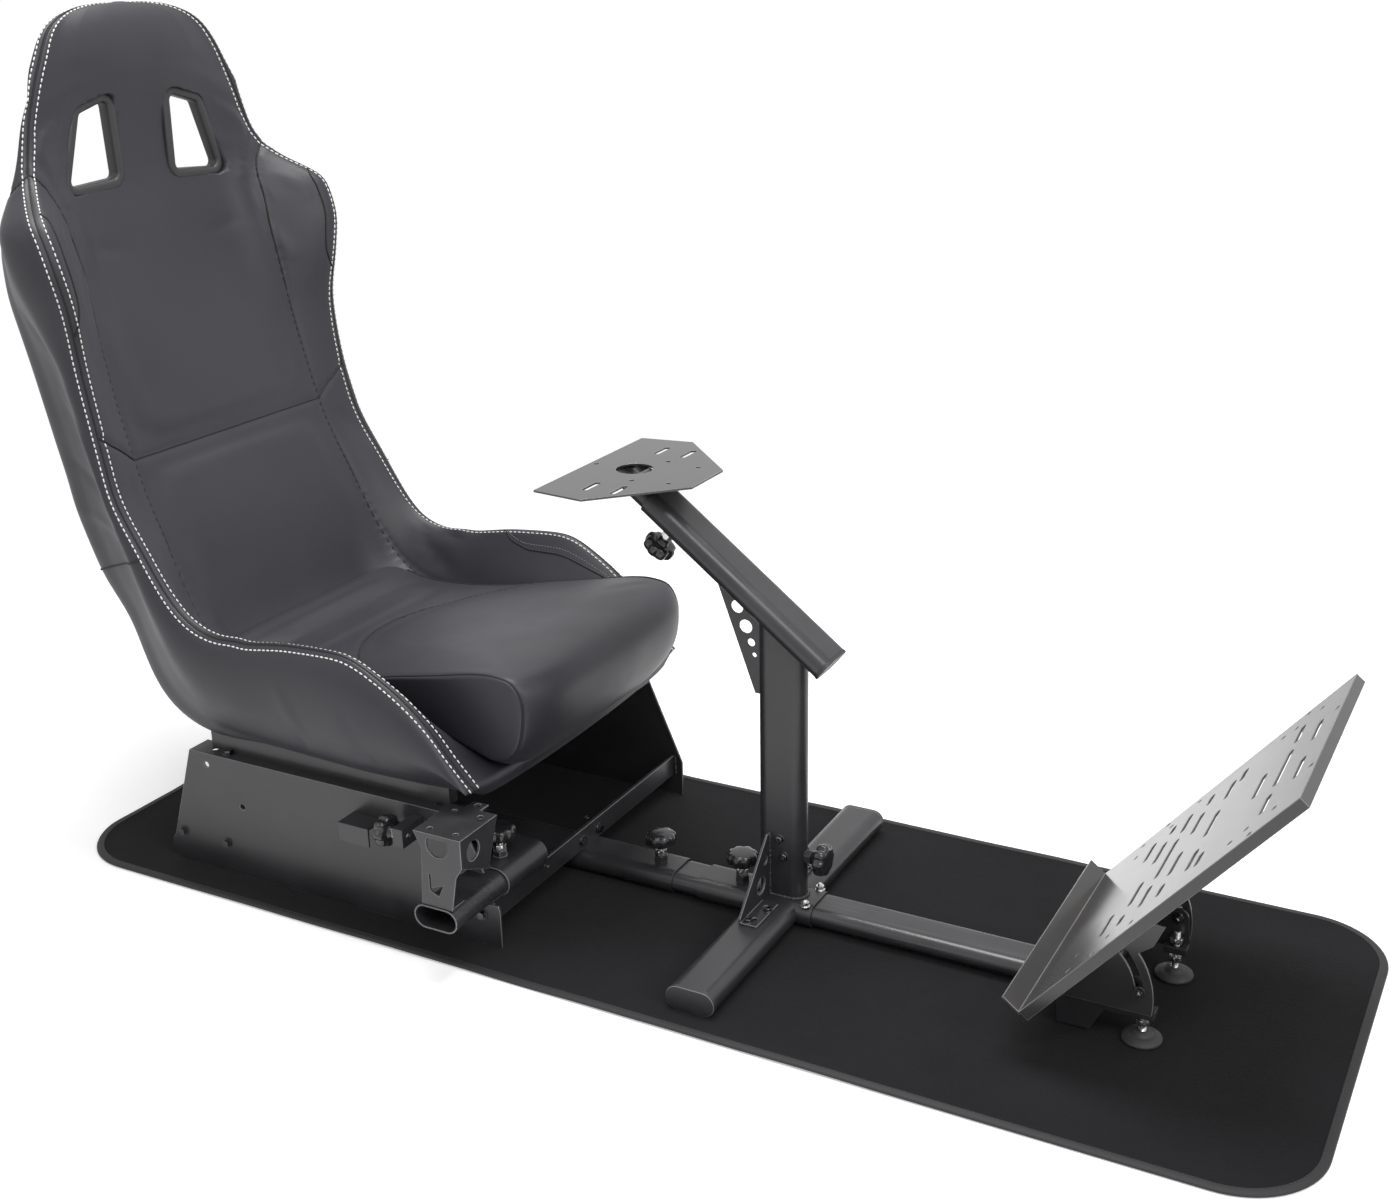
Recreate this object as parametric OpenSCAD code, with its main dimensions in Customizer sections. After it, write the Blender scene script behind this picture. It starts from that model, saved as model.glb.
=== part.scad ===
// Racing seat cockpit: bucket seat on a folded plate base, telescoping spine,
// wheel stand with an inclined arm, slotted pedal plate and shifter post on a mat.
// X runs forward from the seat to the pedals, Y to the driver's left, Z up.

/* [Floor mat] */
// Length of the mat
mat_len = 1600; // [1400:10:1800]
// Width of the mat
mat_wid = 560; // [520:10:700]
// Thickness of the mat
mat_t = 4; // [3:0.5:8]
// Corner radius of the mat
mat_corner = 95; // [40:5:140]

/* [Flat oval tube] */
// Width of the outer tube
tube_w = 60; // [54:1:70]
// Height of the outer tube
tube_h = 30; // [26:1:36]
// Wall of every tube
tube_wall = 2; // [1.5:0.5:3]
// Clearance all round between the sliding tubes
slide_gap = 0.5; // [0.3:0.1:1]

/* [Seat base] */
// Distance between the outer faces of the side plates
base_wid = 452; // [420:2:480]
// Height of the side plates
plate_h = 165; // [150:1:185]
// Sheet thickness of the side plates and brackets
sheet_t = 3; // [2:0.5:4]
// Length of a side plate along its foot
plate_foot = 520; // [480:5:560]
// Width of the folded top flange
flange_w = 34; // [28:1:45]
// Front end of the side plates
plate_front = -137; // [-150:1:-120]

/* [Spine] */
// Front end of the rear spine tube
rear_tube_end = -16; // [-30:1:0]
// Rear end of the stand's sleeve
sleeve_rear = 18; // [10:1:30]
// Front end of the stand's sleeve
sleeve_front = 174; // [168:1:190]
// How far the rear link slides out of the seat base
link_travel = 90; // [40:5:100]
// How far each tube slides out of the stand's sleeve
sleeve_travel = 44; // [20:2:46]

/* [Wheel stand] */
// Forward place of the post
post_x = 126; // [115:1:135]
// Length of the cross foot
foot_len = 490; // [400:10:520]
// Height of the wheel plate's top face
deck_z = 546; // [520:1:580]
// Slope of the arm below the level
arm_slope = 37.5; // [30:0.5:42]
// Distance along the arm from the deck to its lower end
arm_len = 330; // [310:1:350]
// Distance along the arm from the deck to the outer tube's upper end
arm_outer_start = 46; // [36:1:56]

/* [Wheel plate] */
// Width of the plate at its middle
deck_wid = 264; // [230:2:280]
// Width of the plate's front edge
deck_nose = 76; // [60:2:110]
// Sheet thickness of the wheel plate
deck_t = 3; // [2.5:0.5:4]
// Diameter of the centre hole
deck_bore = 44; // [30:1:50]

/* [Pedal plate] */
// Length of the plate up its slope
pedal_len = 399; // [360:1:420]
// Width of the plate
pedal_wid = 328; // [290:2:340]
// Slope of the plate
pedal_slope = 50.3; // [45:0.1:55]
// Depth of the plate's folded edge
pedal_edge = 13; // [10:1:24]

/* [Shifter] */
// Length of the shifter tube
shift_len = 180; // [165:1:190]
// Height of the shifter tower
tower_h = 93; // [80:1:110]
// How far the shifter tube slides out
shift_travel = 50; // [20:5:60]

/* [Seat] */
// Half width of the seat at the thigh wings
thigh_half = 256; // [240:1:262]
// Half width of the seat cushion
cushion_half = 186; // [170:1:190]

/* [Hidden] */
$fn = 48;

inner_w = tube_w - 2 * (tube_wall + slide_gap);
inner_h = tube_h - 2 * (tube_wall + slide_gap);
seat_gap = 0.3;
tube_z = mat_t + seat_gap + tube_h / 2;
tube_top = tube_z + tube_h / 2;
plate_y = base_wid / 2;
plate_top = mat_t + plate_h;
plate_rear = plate_front - plate_foot;

// Closed outline of a flat oval, w across and h high
module oval(w, h) {
    square([w - h, h], center = true);
    for (s = [-1, 1]) translate([s * (w - h) / 2, 0]) circle(d = h);
}
// Wall of a flat oval tube
module oval_ring(w, h, t) {
    difference() {
        oval(w, h);
        oval(w - 2 * t, h - 2 * t);
    }
}
// Open tube along +X from x0 to x1, centred on y = 0 and height z
module tube_x(x0, x1, z, w, h) {
    translate([x0, 0, z]) rotate([90, 0, 90]) linear_extrude(x1 - x0) oval_ring(w, h, tube_wall);
}
// Rectangle with rounded corners
module soft_rect(l, w, r) {
    square([l - 2 * r, w], center = true);
    square([l, w - 2 * r], center = true);
    for (sx = [-1, 1], sy = [-1, 1]) translate([sx * (l / 2 - r), sy * (w / 2 - r)]) circle(r = r);
}
// Slot with round ends, its length along Y
module slot_y(l, w) {
    square([w, l - w], center = true);
    for (s = [-1, 1]) translate([0, s * (l - w) / 2]) circle(d = w);
}

// Star knobs: a lobed head on a threaded stem that points down from the origin
knob_r = 20;
knob_h = 15;
stem_r = 4;
knob_lobes = 6;
boss_r = 9;
boss_h = 8;
stem_gap = 0.05;
collar_h = 6;
module knob_head() {
    difference() {
        union() {
            cylinder(r = knob_r - 4, h = knob_h);
            for (i = [0 : knob_lobes - 1]) rotate(i * 360 / knob_lobes)
                translate([knob_r - 5, 0, 0]) cylinder(r = 5.5, h = knob_h - 3, $fn = 24);
        }
        for (i = [0 : knob_lobes - 1]) rotate((i + 0.5) * 360 / knob_lobes)
            translate([knob_r + 1.5, 0, -1]) cylinder(r = 5, h = knob_h + 2, $fn = 24);
    }
}
// Knob with its stem of length l below the head
module star_knob(l) {
    knob_head();
    translate([0, 0, -collar_h]) cylinder(r = 7.5, h = collar_h + 0.5);
    translate([0, 0, -l]) cylinder(r = stem_r, h = l);
}
// Welded nut that the stem runs in
module boss() {
    cylinder(r = boss_r, h = boss_h, $fn = 6);
}

module floor_mat() {
    color("#1c1c1e") linear_extrude(mat_t) soft_rect(mat_len, mat_wid, mat_corner);
}

// Side plate outline in the XZ plane
plate_lean_front = 50;
plate_lean_rear = 50;
plate_kick = 50;
plate_corner = 20;
module plate_outline() {
    polygon([[plate_rear + plate_corner, mat_t], [plate_front, mat_t],
        [plate_front, mat_t + plate_kick],
        [plate_front - plate_lean_front, plate_top], [plate_rear + plate_lean_rear, plate_top],
        [plate_rear + plate_corner * 0.16, mat_t + plate_corner * 1.25]]);
    translate([plate_rear + plate_corner, mat_t + plate_corner]) circle(r = plate_corner);
}
// Height of the shifter sleeve above the mat
crossbar_h = 28;
crossbar_w = 30;
crossbar_x = plate_front - 13;
crossbar_top = tube_top + crossbar_h;
shift_wall = 2.5;
sleeve_w = tube_w + 2 * (shift_wall + slide_gap);
sleeve_h = tube_h + 2 * (shift_wall + slide_gap);
shift_x = crossbar_x - 18;
shift_z = crossbar_top + sleeve_h / 2;
plate_notch = 5;
// One side plate, s is +1 on the left and -1 on the right
module side_plate(s) {
    color("#2b2b2d") difference() {
        union() {
            translate([0, s > 0 ? plate_y : -plate_y + sheet_t, 0]) rotate([90, 0, 0])
                linear_extrude(sheet_t) plate_outline();
            translate([plate_rear + plate_lean_rear, s > 0 ? plate_y - flange_w : -plate_y,
                plate_top - sheet_t])
                cube([plate_foot - plate_lean_rear - plate_lean_front, flange_w, sheet_t]);
        }
        for (x = [plate_rear + 79, plate_front - 90]) translate([x, s * (plate_y - 17), plate_top - 5])
            cylinder(d = 9, h = 10);
        for (p = [[plate_rear + 77, plate_top - 16], [plate_rear + 130, plate_top - 65]])
            translate([p[0], s * plate_y, p[1]]) rotate([90, 0, 0])
                cylinder(d = 8, h = 3 * sheet_t, center = true);
        if (s < 0) shifter_notch();
    }
}
// Slot in the right plate that the shifter tube passes through
module shifter_notch() {
    translate([shift_x, -plate_y - 2 * sheet_t, shift_z]) rotate([-90, 0, 0])
        linear_extrude(4 * sheet_t) {
            oval(tube_w + 2 * plate_notch, tube_h + 2 * plate_notch);
            translate([0, -tube_h / 2 - plate_notch])
                square([tube_w + 80, tube_h + 2 * plate_notch]);
        }
}
module side_plate_left() { side_plate(1); }
module side_plate_right() { side_plate(-1); }

// Angle bar between the side plates, its flat face forward
module crossbar(x) {
    len = base_wid - 2 * sheet_t;
    translate([x, -len / 2, tube_top]) {
        translate([-sheet_t, 0, 0]) cube([sheet_t, len, crossbar_h]);
        translate([-crossbar_w, 0, crossbar_h - sheet_t]) cube([crossbar_w, len, sheet_t]);
    }
}
module front_crossbar() {
    color("#2b2b2d") difference() {
        crossbar(crossbar_x);
        for (y = [-20, 20]) translate([crossbar_x, y, tube_top + 12]) rotate([0, 90, 0])
            cylinder(d = 6.5, h = 4 * sheet_t, center = true);
    }
}
rear_bar_x = plate_rear + 110;
module rear_crossbar() { color("#2b2b2d") crossbar(rear_bar_x); }

// Slim rails that carry the seat on the plate flanges
seat_floor = 198;
rail_h = seat_floor - seat_gap - plate_top;
rail_w = 30;
rail_x0 = plate_rear + 75;
rail_x1 = plate_front - 75;
module rail(s) {
    color("#232325") difference() {
        translate([rail_x0, s * (plate_y - 18) - rail_w / 2, plate_top])
            cube([rail_x1 - rail_x0, rail_w, rail_h]);
        translate([rail_x0 - 1, s * (plate_y - 18) - rail_w / 2 + 5, plate_top - 1])
            cube([rail_x1 - rail_x0 + 2, rail_w - 10, rail_h - 4]);
    }
}
module seat_rail_left() { rail(1); }
module seat_rail_right() { rail(-1); }

// Spine
rear_tube_start = rear_bar_x - crossbar_w;
rear_knob_x = rear_tube_end - 30;
stand_rear_knob_x = sleeve_rear + 51;
link_rear = rear_tube_end - link_travel - 40;
link_front = (sleeve_rear + sleeve_front) / 2 - 3;
// Hole through a tube's upper wall for a clamp stem, with its welded nut
module clamp_cut(x) {
    translate([x, 0, tube_top - tube_wall - 1]) cylinder(r = stem_r + stem_gap, h = boss_h + tube_wall + 2);
}
module clamp_nut(x) { translate([x, 0, tube_top]) boss(); }
module rear_spine_tube() {
    color("#2b2b2d") difference() {
        union() {
            tube_x(rear_tube_start, rear_tube_end, tube_z, tube_w, tube_h);
            clamp_nut(rear_knob_x);
        }
        clamp_cut(rear_knob_x);
    }
}
stem_len = boss_h + 16;
// Knob over a clamp nut, its stem ends at the wall of the inner tube
module spine_knob(x, l) {
    translate([x, 0, tube_top - tube_wall + seat_gap / 3 + l]) star_knob(l);
}
module rear_spine_knob() { color("#1d1d1f") spine_knob(rear_knob_x, stem_len + tube_wall); }
module spine_link_tube() {
    color("#303033") tube_x(link_rear, link_front, tube_z, inner_w, inner_h);
}
module stand_sleeve() {
    color("#2b2b2d") difference() {
        union() {
            tube_x(sleeve_rear, sleeve_front, tube_z, tube_w, tube_h);
            clamp_nut(stand_rear_knob_x);
        }
        clamp_cut(stand_rear_knob_x);
    }
}
module stand_rear_knob() { color("#1d1d1f") spine_knob(stand_rear_knob_x, stem_len + tube_wall); }

// Cross foot: two tubes coped to the sides of the sleeve
cap_t = 5;
module cross_foot(s) {
    color("#2b2b2d") difference() {
        translate([post_x, s > 0 ? 0 : -foot_len / 2 + cap_t, tube_z]) rotate([-90, 0, 0])
            linear_extrude(foot_len / 2 - cap_t) oval_ring(tube_w, tube_h, tube_wall);
        translate([0, 0, tube_z]) rotate([90, 0, 90]) linear_extrude(2 * post_x) oval(tube_w, tube_h);
    }
}
module cross_foot_left() { cross_foot(1); }
module cross_foot_right() { cross_foot(-1); }
module foot_cap(s) {
    color("#1d1d1f") translate([post_x, s * (foot_len / 2 - cap_t / 2), tube_z]) rotate([90, 0, 0])
        linear_extrude(cap_t, center = true) oval(tube_w + 1, tube_h);
}
module foot_cap_left() { foot_cap(1); }
module foot_cap_right() { foot_cap(-1); }

// Post from the sleeve up to the underside of the arm
arm_dir = [cos(arm_slope), 0, -sin(arm_slope)];
arm_top = [-75.5, 0, deck_z - deck_t];
function on_arm(d, off) = [arm_top[0] + d * cos(arm_slope) + off * sin(arm_slope),
    arm_top[2] - d * sin(arm_slope) + off * cos(arm_slope)];
post_knob_z = 88;
module post() {
    color("#2b2b2d") difference() {
        union() {
            translate([post_x, 0, tube_top]) linear_extrude(400) oval_ring(tube_w, tube_h, tube_wall);
            translate([post_x + tube_w / 2 - 1, 0, post_knob_z]) rotate([0, 90, 0])
                cylinder(r = boss_r, h = boss_h + 1, $fn = 6);
        }
        translate([post_x + tube_w / 2 - 2 * tube_wall, 0, post_knob_z]) rotate([0, 90, 0])
            cylinder(r = stem_r + stem_gap, h = boss_h + 4 * tube_wall);
        translate([arm_top[0], 0, arm_top[2]]) rotate([0, arm_slope, 0])
            translate([0, -100, -tube_h / 2]) cube([600, 200, 600]);
    }
}

module post_knob() {
    reach = boss_h + collar_h + seat_gap;
    color("#1d1d1f") translate([post_x + tube_w / 2 + reach, 0, post_knob_z]) rotate([0, 90, 0])
        star_knob(reach + tube_wall);
}

// Pressed gusset between the post and one half of the cross foot
gusset_x = post_x - 14;
gusset_h = 84;
gusset_w = 82;
gusset_flange = 24;
module post_gusset(s) {
    y0 = tube_h / 2;
    color("#2b2b2d") mirror([0, s < 0 ? 1 : 0, 0]) {
        difference() {
            translate([gusset_x, 0, 0]) rotate([90, 0, 90]) linear_extrude(sheet_t)
                polygon([[y0, tube_top], [tube_w / 2 + gusset_w - 15, tube_top],
                    [tube_w / 2 + gusset_w - 15, tube_top + 8], [y0 + 8, tube_top + gusset_h],
                    [y0, tube_top + gusset_h]]);
            for (p = [[y0 + 26, 24, 11], [y0 + 14, 52, 5]])
                translate([gusset_x - 1, p[0], tube_top + p[1]]) rotate([0, 90, 0])
                    cylinder(r = p[2], h = sheet_t + 2);
        }
        difference() {
            translate([gusset_x, tube_w / 2 + 8, tube_top])
                cube([gusset_flange, gusset_w - 23, sheet_t]);
            for (y = [12, 44]) translate([gusset_x + 14, tube_w / 2 + 8 + y, tube_top - 1])
                cylinder(d = 6.5, h = sheet_t + 2);
        }
    }
}
module post_gusset_left() { post_gusset(1); }
module post_gusset_right() { post_gusset(-1); }

// Inclined arm, measured along its axis from the deck down
arm_cap_t = 4;
arm_knob_d = arm_outer_start + 39;
arm_outer_len = arm_len - arm_cap_t - arm_outer_start;
module along_arm(d) {
    translate([arm_top[0], 0, arm_top[2]]) rotate([0, arm_slope, 0]) translate([d, 0, 0]) children();
}
module arm_outer_tube() {
    color("#2b2b2d") difference() {
        union() {
            along_arm(arm_outer_start) rotate([90, 0, 90]) linear_extrude(arm_outer_len)
                oval_ring(tube_w, tube_h, tube_wall);
            along_arm(arm_knob_d) translate([0, 0, -tube_h / 2]) mirror([0, 0, 1]) boss();
        }
        along_arm(arm_knob_d) translate([0, 0, -tube_h / 2 - boss_h - 1])
            cylinder(r = stem_r + stem_gap, h = boss_h + tube_wall + 2);
    }
}
module arm_knob() {
    color("#1d1d1f") along_arm(arm_knob_d)
        translate([0, 0, -tube_h / 2 + tube_wall - seat_gap / 3 - stem_len - tube_wall])
            mirror([0, 0, 1]) star_knob(stem_len + tube_wall);
}
module arm_end_cap() {
    color("#1d1d1f") along_arm(arm_len - arm_cap_t) rotate([90, 0, 90])
        linear_extrude(arm_cap_t) oval(tube_w + 1, tube_h + 1);
}
// Triangular gusset under the arm with a row of round holes
arm_gusset_low = 290;
module arm_gusset() {
    back = post_x - tube_w / 2;
    top_x = 34;
    arm_z = arm_top[2] - (top_x - arm_top[0]) * tan(arm_slope) - tube_h / 2 / cos(arm_slope);
    color("#2b2b2d") difference() {
        translate([0, sheet_t / 2, 0]) rotate([90, 0, 0]) linear_extrude(sheet_t) difference() {
            polygon([[top_x, arm_z], [back, arm_z - (back - top_x) * tan(arm_slope)],
                [back, arm_gusset_low], [back - 7, arm_gusset_low]]);
            translate([66, 395]) circle(r = 8);
            translate([77, 372]) circle(r = 8.5);
            translate([84, 353]) circle(r = 5);
            translate([88, 338]) circle(r = 3);
        }
    }
}
inner_reach = 185;
module arm_inner_tube() {
    color("#303033") difference() {
        along_arm(-60) rotate([90, 0, 90]) linear_extrude(inner_reach + 60)
            oval_ring(inner_w, inner_h, tube_wall);
        translate([-300, -100, deck_z - deck_t]) cube([500, 200, 200]);
    }
}

// Wheel plate, level, with its slots and holes
deck_rear = -128;
deck_mid = -60;
deck_front = 30;
deck_rear_wid = 246;
module deck_outline() {
    polygon([[deck_rear, -deck_rear_wid / 2], [deck_mid, -deck_wid / 2], [deck_front, -deck_nose / 2],
        [deck_front, deck_nose / 2], [deck_mid, deck_wid / 2], [deck_rear, deck_rear_wid / 2]]);
}
deck_slot_l = 34;
deck_slot_w = 7;
deck_slot_y = 82;
module wheel_plate() {
    color("#a9a39f") translate([0, 0, deck_z - deck_t]) linear_extrude(deck_t) difference() {
        deck_outline();
        translate([-67, 0]) circle(d = deck_bore);
        for (s = [-1, 1], x = [-76, -40]) translate([x, s * deck_slot_y]) slot_y(deck_slot_l, deck_slot_w);
        for (s = [-1, 1]) {
            translate([-46, s * 43]) circle(d = 6);
            translate([-2, s * 36]) circle(d = 6);
        }
        translate([-119, 0]) circle(d = 6);
    }
}

// Pedal unit
pedal_tube_start = link_front + 6;
pedal_tube_end = 500;
pivot_z = 60;
pivot = [pedal_tube_end, pivot_z];
pedal_x = pivot[0] - 24.1;
pedal_z = pivot_z + 2.1;
brace_y = 84;
module pedal_tube() {
    color("#303033") tube_x(pedal_tube_start, pedal_tube_end, tube_z, inner_w, inner_h);
}
slot_r = 84;
slot_w = 8.5;
slot_end_w = slot_w + 0.6;
slot_low = 10;
slot_sweep = 31;
pin_r = 4;
pin_gap = 0.05;
foot_x = pedal_tube_end + 85;
cheek = brace_y - sheet_t;
cross_w = 30;
lug_t = 8;
lug_z = 36;
// Place of the clamp bolt at the slot's low end
clamp_x = pivot[0] + slot_r * cos(slot_low);
clamp_z = pivot[1] + slot_r * sin(slot_low);
// Pin that stands out of a cheek plate
module cheek_pin(x, z, s) {
    translate([x, s * (cheek - 1), z]) rotate([-90 * s, 0, 0]) cylinder(r = pin_r, h = 3 * sheet_t);
}
// Fixed frame: a cross tube on the pedal tube, a cheek plate each side and lugs for the feet
module pedal_frame() {
    low = tube_z - inner_h / 2;
    color("#2b2b2d") {
        translate([pedal_tube_end + cross_w / 2, 0, tube_z]) rotate([90, 0, 0])
            linear_extrude(2 * cheek - 2 * sheet_t, center = true) oval_ring(cross_w, inner_h, tube_wall);
        for (s = [-1, 1]) translate([0, s * (cheek - sheet_t / 2) + sheet_t / 2, 0]) rotate([90, 0, 0])
            linear_extrude(sheet_t) {
                translate(pivot) circle(r = 11);
                translate([clamp_x, clamp_z]) circle(r = 12);
                polygon([[pivot[0] - 10, pivot[1]], [pivot[0] - 6, low], [pivot[0] + cross_w, low],
                    [foot_x - 40, lug_z], [foot_x + 13, lug_z], [clamp_x + 12, clamp_z],
                    [clamp_x - 4, clamp_z + 12], [pivot[0] + 4, pivot[1] + 10]]);
            }
        for (s = [-1, 1]) {
            cheek_pin(pivot[0], pivot[1], s);
            cheek_pin(clamp_x, clamp_z, s);
            translate([foot_x, s * (cheek - sheet_t - 8), lug_z + lug_t / 2])
                cube([26, 16, lug_t], center = true);
        }
    }
}
foot_r = 22;
foot_h = 7;
module pedal_foot(s) {
    color("#1d1d1f") translate([foot_x, s * (cheek - sheet_t - 8), mat_t + seat_gap]) {
        cylinder(r1 = foot_r, r2 = foot_r - 5, h = foot_h);
        cylinder(r = 4, h = lug_z - mat_t - seat_gap);
    }
}
module pedal_foot_left() { pedal_foot(1); }
module pedal_foot_right() { pedal_foot(-1); }
// Places up the plate and across it, in plate units
module on_plate() {
    translate([pedal_x, 0, pedal_z]) rotate([0, -pedal_slope, 0]) children();
}
lip_h = 23;
lip_lean = 2;
weld = 1;
// Folded sheet seen from its edge: lip, plate and top flange
module plate_profile() {
    t = sheet_t;
    polygon([[0, 0], [-lip_h * sin(lip_lean), lip_h * cos(lip_lean)],
        [-lip_h * sin(lip_lean) - t * cos(lip_lean), lip_h * cos(lip_lean) - t * sin(lip_lean)],
        [-t * (1 - sin(lip_lean)) / cos(lip_lean), -t], [pedal_len - t, -t],
        [pedal_len - t, -pedal_edge], [pedal_len, -pedal_edge], [pedal_len, 0]]);
}
module pedal_plate() {
    color("#a9a39f") {
        on_plate() difference() {
            union() {
                rotate([90, 0, 0]) linear_extrude(pedal_wid, center = true) plate_profile();
                for (s = [-1, 1]) translate([0, s > 0 ? pedal_wid / 2 - sheet_t : -pedal_wid / 2, -pedal_edge])
                    cube([pedal_len, sheet_t, pedal_edge]);
            }
            pedal_slots();
        }
        for (s = [-1, 1]) translate([0, s * (brace_y + 1), 0]) plate_ear(s);
    }
}
// Ear under the plate with a pivot hole and a curved slot
ear_r = 98;
ear_low = 14;
ear_end = 97;
ear_drop = 14;
module ear_outline() {
    translate(pivot) {
        circle(r = 12);
        intersection() {
            circle(r = ear_r);
            translate([-8, -ear_low]) square([ear_r + 8, 2 * ear_r]);
        }
        polygon([[20, 20], [ear_r - 30, ear_r - 48], [ear_r - 5, ear_r - 28], [ear_r + 6, ear_r - 2],
            [ear_r - 20, ear_r]]);
    }
}
module plate_ear(s) {
    a1 = slot_low + slot_sweep;
    translate([0, s > 0 ? sheet_t : 0, 0]) rotate([90, 0, 0]) linear_extrude(sheet_t) difference() {
        intersection() {
            ear_outline();
            translate([pedal_x, pedal_z]) rotate(pedal_slope) union() {
                translate([-60, -200 - ear_drop]) square([400, 200]);
                translate([-60, -ear_drop - 1]) square([60 + ear_end, ear_drop - sheet_t + 1 + weld]);
            }
        }
        translate(pivot) {
            circle(r = pin_r + pin_gap);
            intersection() {
                difference() {
                    circle(r = slot_r + slot_w / 2);
                    circle(r = slot_r - slot_w / 2);
                }
                polygon([[0, 0], 150 * [cos(slot_low), sin(slot_low)],
                    150 * [cos(a1 - 15), sin(a1 - 15)], 150 * [cos(a1), sin(a1)]]);
            }
            for (a = [slot_low, a1]) rotate(a) translate([slot_r, 0]) circle(d = slot_end_w);
        }
    }
}
// Rows of slots that run across the plate: [row up the plate, centre, length]
slot_rows = [[105, 88.5, 47], [135, 50, 53], [135, 110, 20], [164, 89.5, 46], [194.5, 50, 53],
    [194.5, 112, 26], [232, 88, 47], [248, 106, 30], [334.5, 91, 46], [369, 49.5, 53]];
mid_rows = [[164, 0, 95], [232, 0, 63], [301, 0, 61], [334.5, 0, 92]];
// Round holes: [row up the plate, distance from the middle]
round_rows = [[71, 117], [71, 149], [111, 155], [124, 134], [165, 148], [299, 134], [320, 129],
    [331, 155], [357, 130], [391, 76]];
module pedal_slots() {
    for (r = slot_rows, s = [-1, 1]) translate([r[0], s * r[1], -2 * sheet_t])
        linear_extrude(3 * sheet_t) slot_y(r[2], 7);
    for (r = mid_rows) translate([r[0], 0, -2 * sheet_t]) linear_extrude(3 * sheet_t) slot_y(r[2], 7);
    for (r = round_rows, s = [-1, 1]) translate([r[0], s * r[1], -2 * sheet_t])
        cylinder(d = 6, h = 3 * sheet_t);
}

// Shifter: a sleeve on the front crossbar, an open tube in it and a folded tower
sleeve_in = 122;
sleeve_out = 207;
shift_end = 309;
shift_knob_y = -175;
module shifter_sleeve() {
    color("#2b2b2d") difference() {
        union() {
            translate([shift_x, -sleeve_out, shift_z]) rotate([-90, 0, 0])
                linear_extrude(sleeve_out - sleeve_in) oval_ring(sleeve_w, sleeve_h, shift_wall);
            translate([shift_x, shift_knob_y, shift_z + sleeve_h / 2]) boss();
        }
        translate([shift_x, shift_knob_y, shift_z + sleeve_h / 2 - shift_wall - 1])
            cylinder(r = stem_r + stem_gap, h = boss_h + shift_wall + 2);
    }
}
module shifter_knob() {
    color("#1d1d1f") translate([shift_x, shift_knob_y,
        shift_z + sleeve_h / 2 - shift_wall + seat_gap / 3 + stem_len + shift_wall])
        star_knob(stem_len + shift_wall);
}
module shifter_tube() {
    color("#303033") translate([shift_x, -shift_end, shift_z]) rotate([-90, 0, 0])
        linear_extrude(shift_len) oval_ring(tube_w, tube_h, tube_wall);
}
tower_w = 65;
tower_d = 74;
tower_x = shift_x + 8.5;
tower_z = shift_z + tube_h / 2;
tower_y = -shift_end + 2;
tower_foot = 43;
tower_waist = 58;
tower_bolt_x = 18;
tower_bolt_y = 24;
// Folded tower that carries a gear shifter: top plate, front face, side face and a foot
module shifter_tower() {
    w = tower_w / 2;
    color("#2b2b2d") translate([tower_x, tower_y, tower_z]) difference() {
        union() {
            translate([-w, 0, tower_h - sheet_t]) cube([tower_w, tower_d, sheet_t]);
            translate([-w, sheet_t, 0]) rotate([90, 0, 0]) linear_extrude(sheet_t)
                polygon([[5, 0], [5 + tower_foot, 0], [5 + tower_foot + 8, 44], [tower_w, tower_waist],
                    [tower_w, tower_h], [0, tower_h], [10, tower_waist + 14]]);
            translate([w - sheet_t, 0, 0]) rotate([90, 0, 90]) linear_extrude(sheet_t)
                polygon([[0, tower_waist], [52, 34], [tower_d, tower_h], [0, tower_h]]);
            translate([5 - w, 0, 0]) cube([tower_foot, 24, sheet_t]);
            translate([-w + 21, tower_d - 1, tower_h - sheet_t]) cube([21, 18, sheet_t]);
        }
        translate([0, -1, tower_h - 13]) rotate([-90, 0, 0]) linear_extrude(sheet_t + 2)
            intersection() {
                circle(r = 15);
                translate([-15, -8]) square([30, 24]);
            }
        translate([-w, sheet_t + 1, 0]) rotate([90, 0, 0]) linear_extrude(sheet_t + 2)
            polygon([[18, 42], [20.5, 42], [20.5, 23.5], [37, 30], [30, 15], [18, 20]]);
        translate([w, 24, tower_h - 22]) rotate([0, 90, 0])
            cylinder(r = 12, h = 3 * sheet_t, center = true);
        translate([-w + 31, tower_d + 10, tower_h - sheet_t - 1]) cylinder(d = 8, h = sheet_t + 2);
        for (x = [-1, 1], y = [-1, 1])
            translate([x * tower_bolt_x, tower_d / 2 + y * tower_bolt_y, tower_h - sheet_t - 1])
                cylinder(d = 6, h = sheet_t + 2);
    }
}
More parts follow.
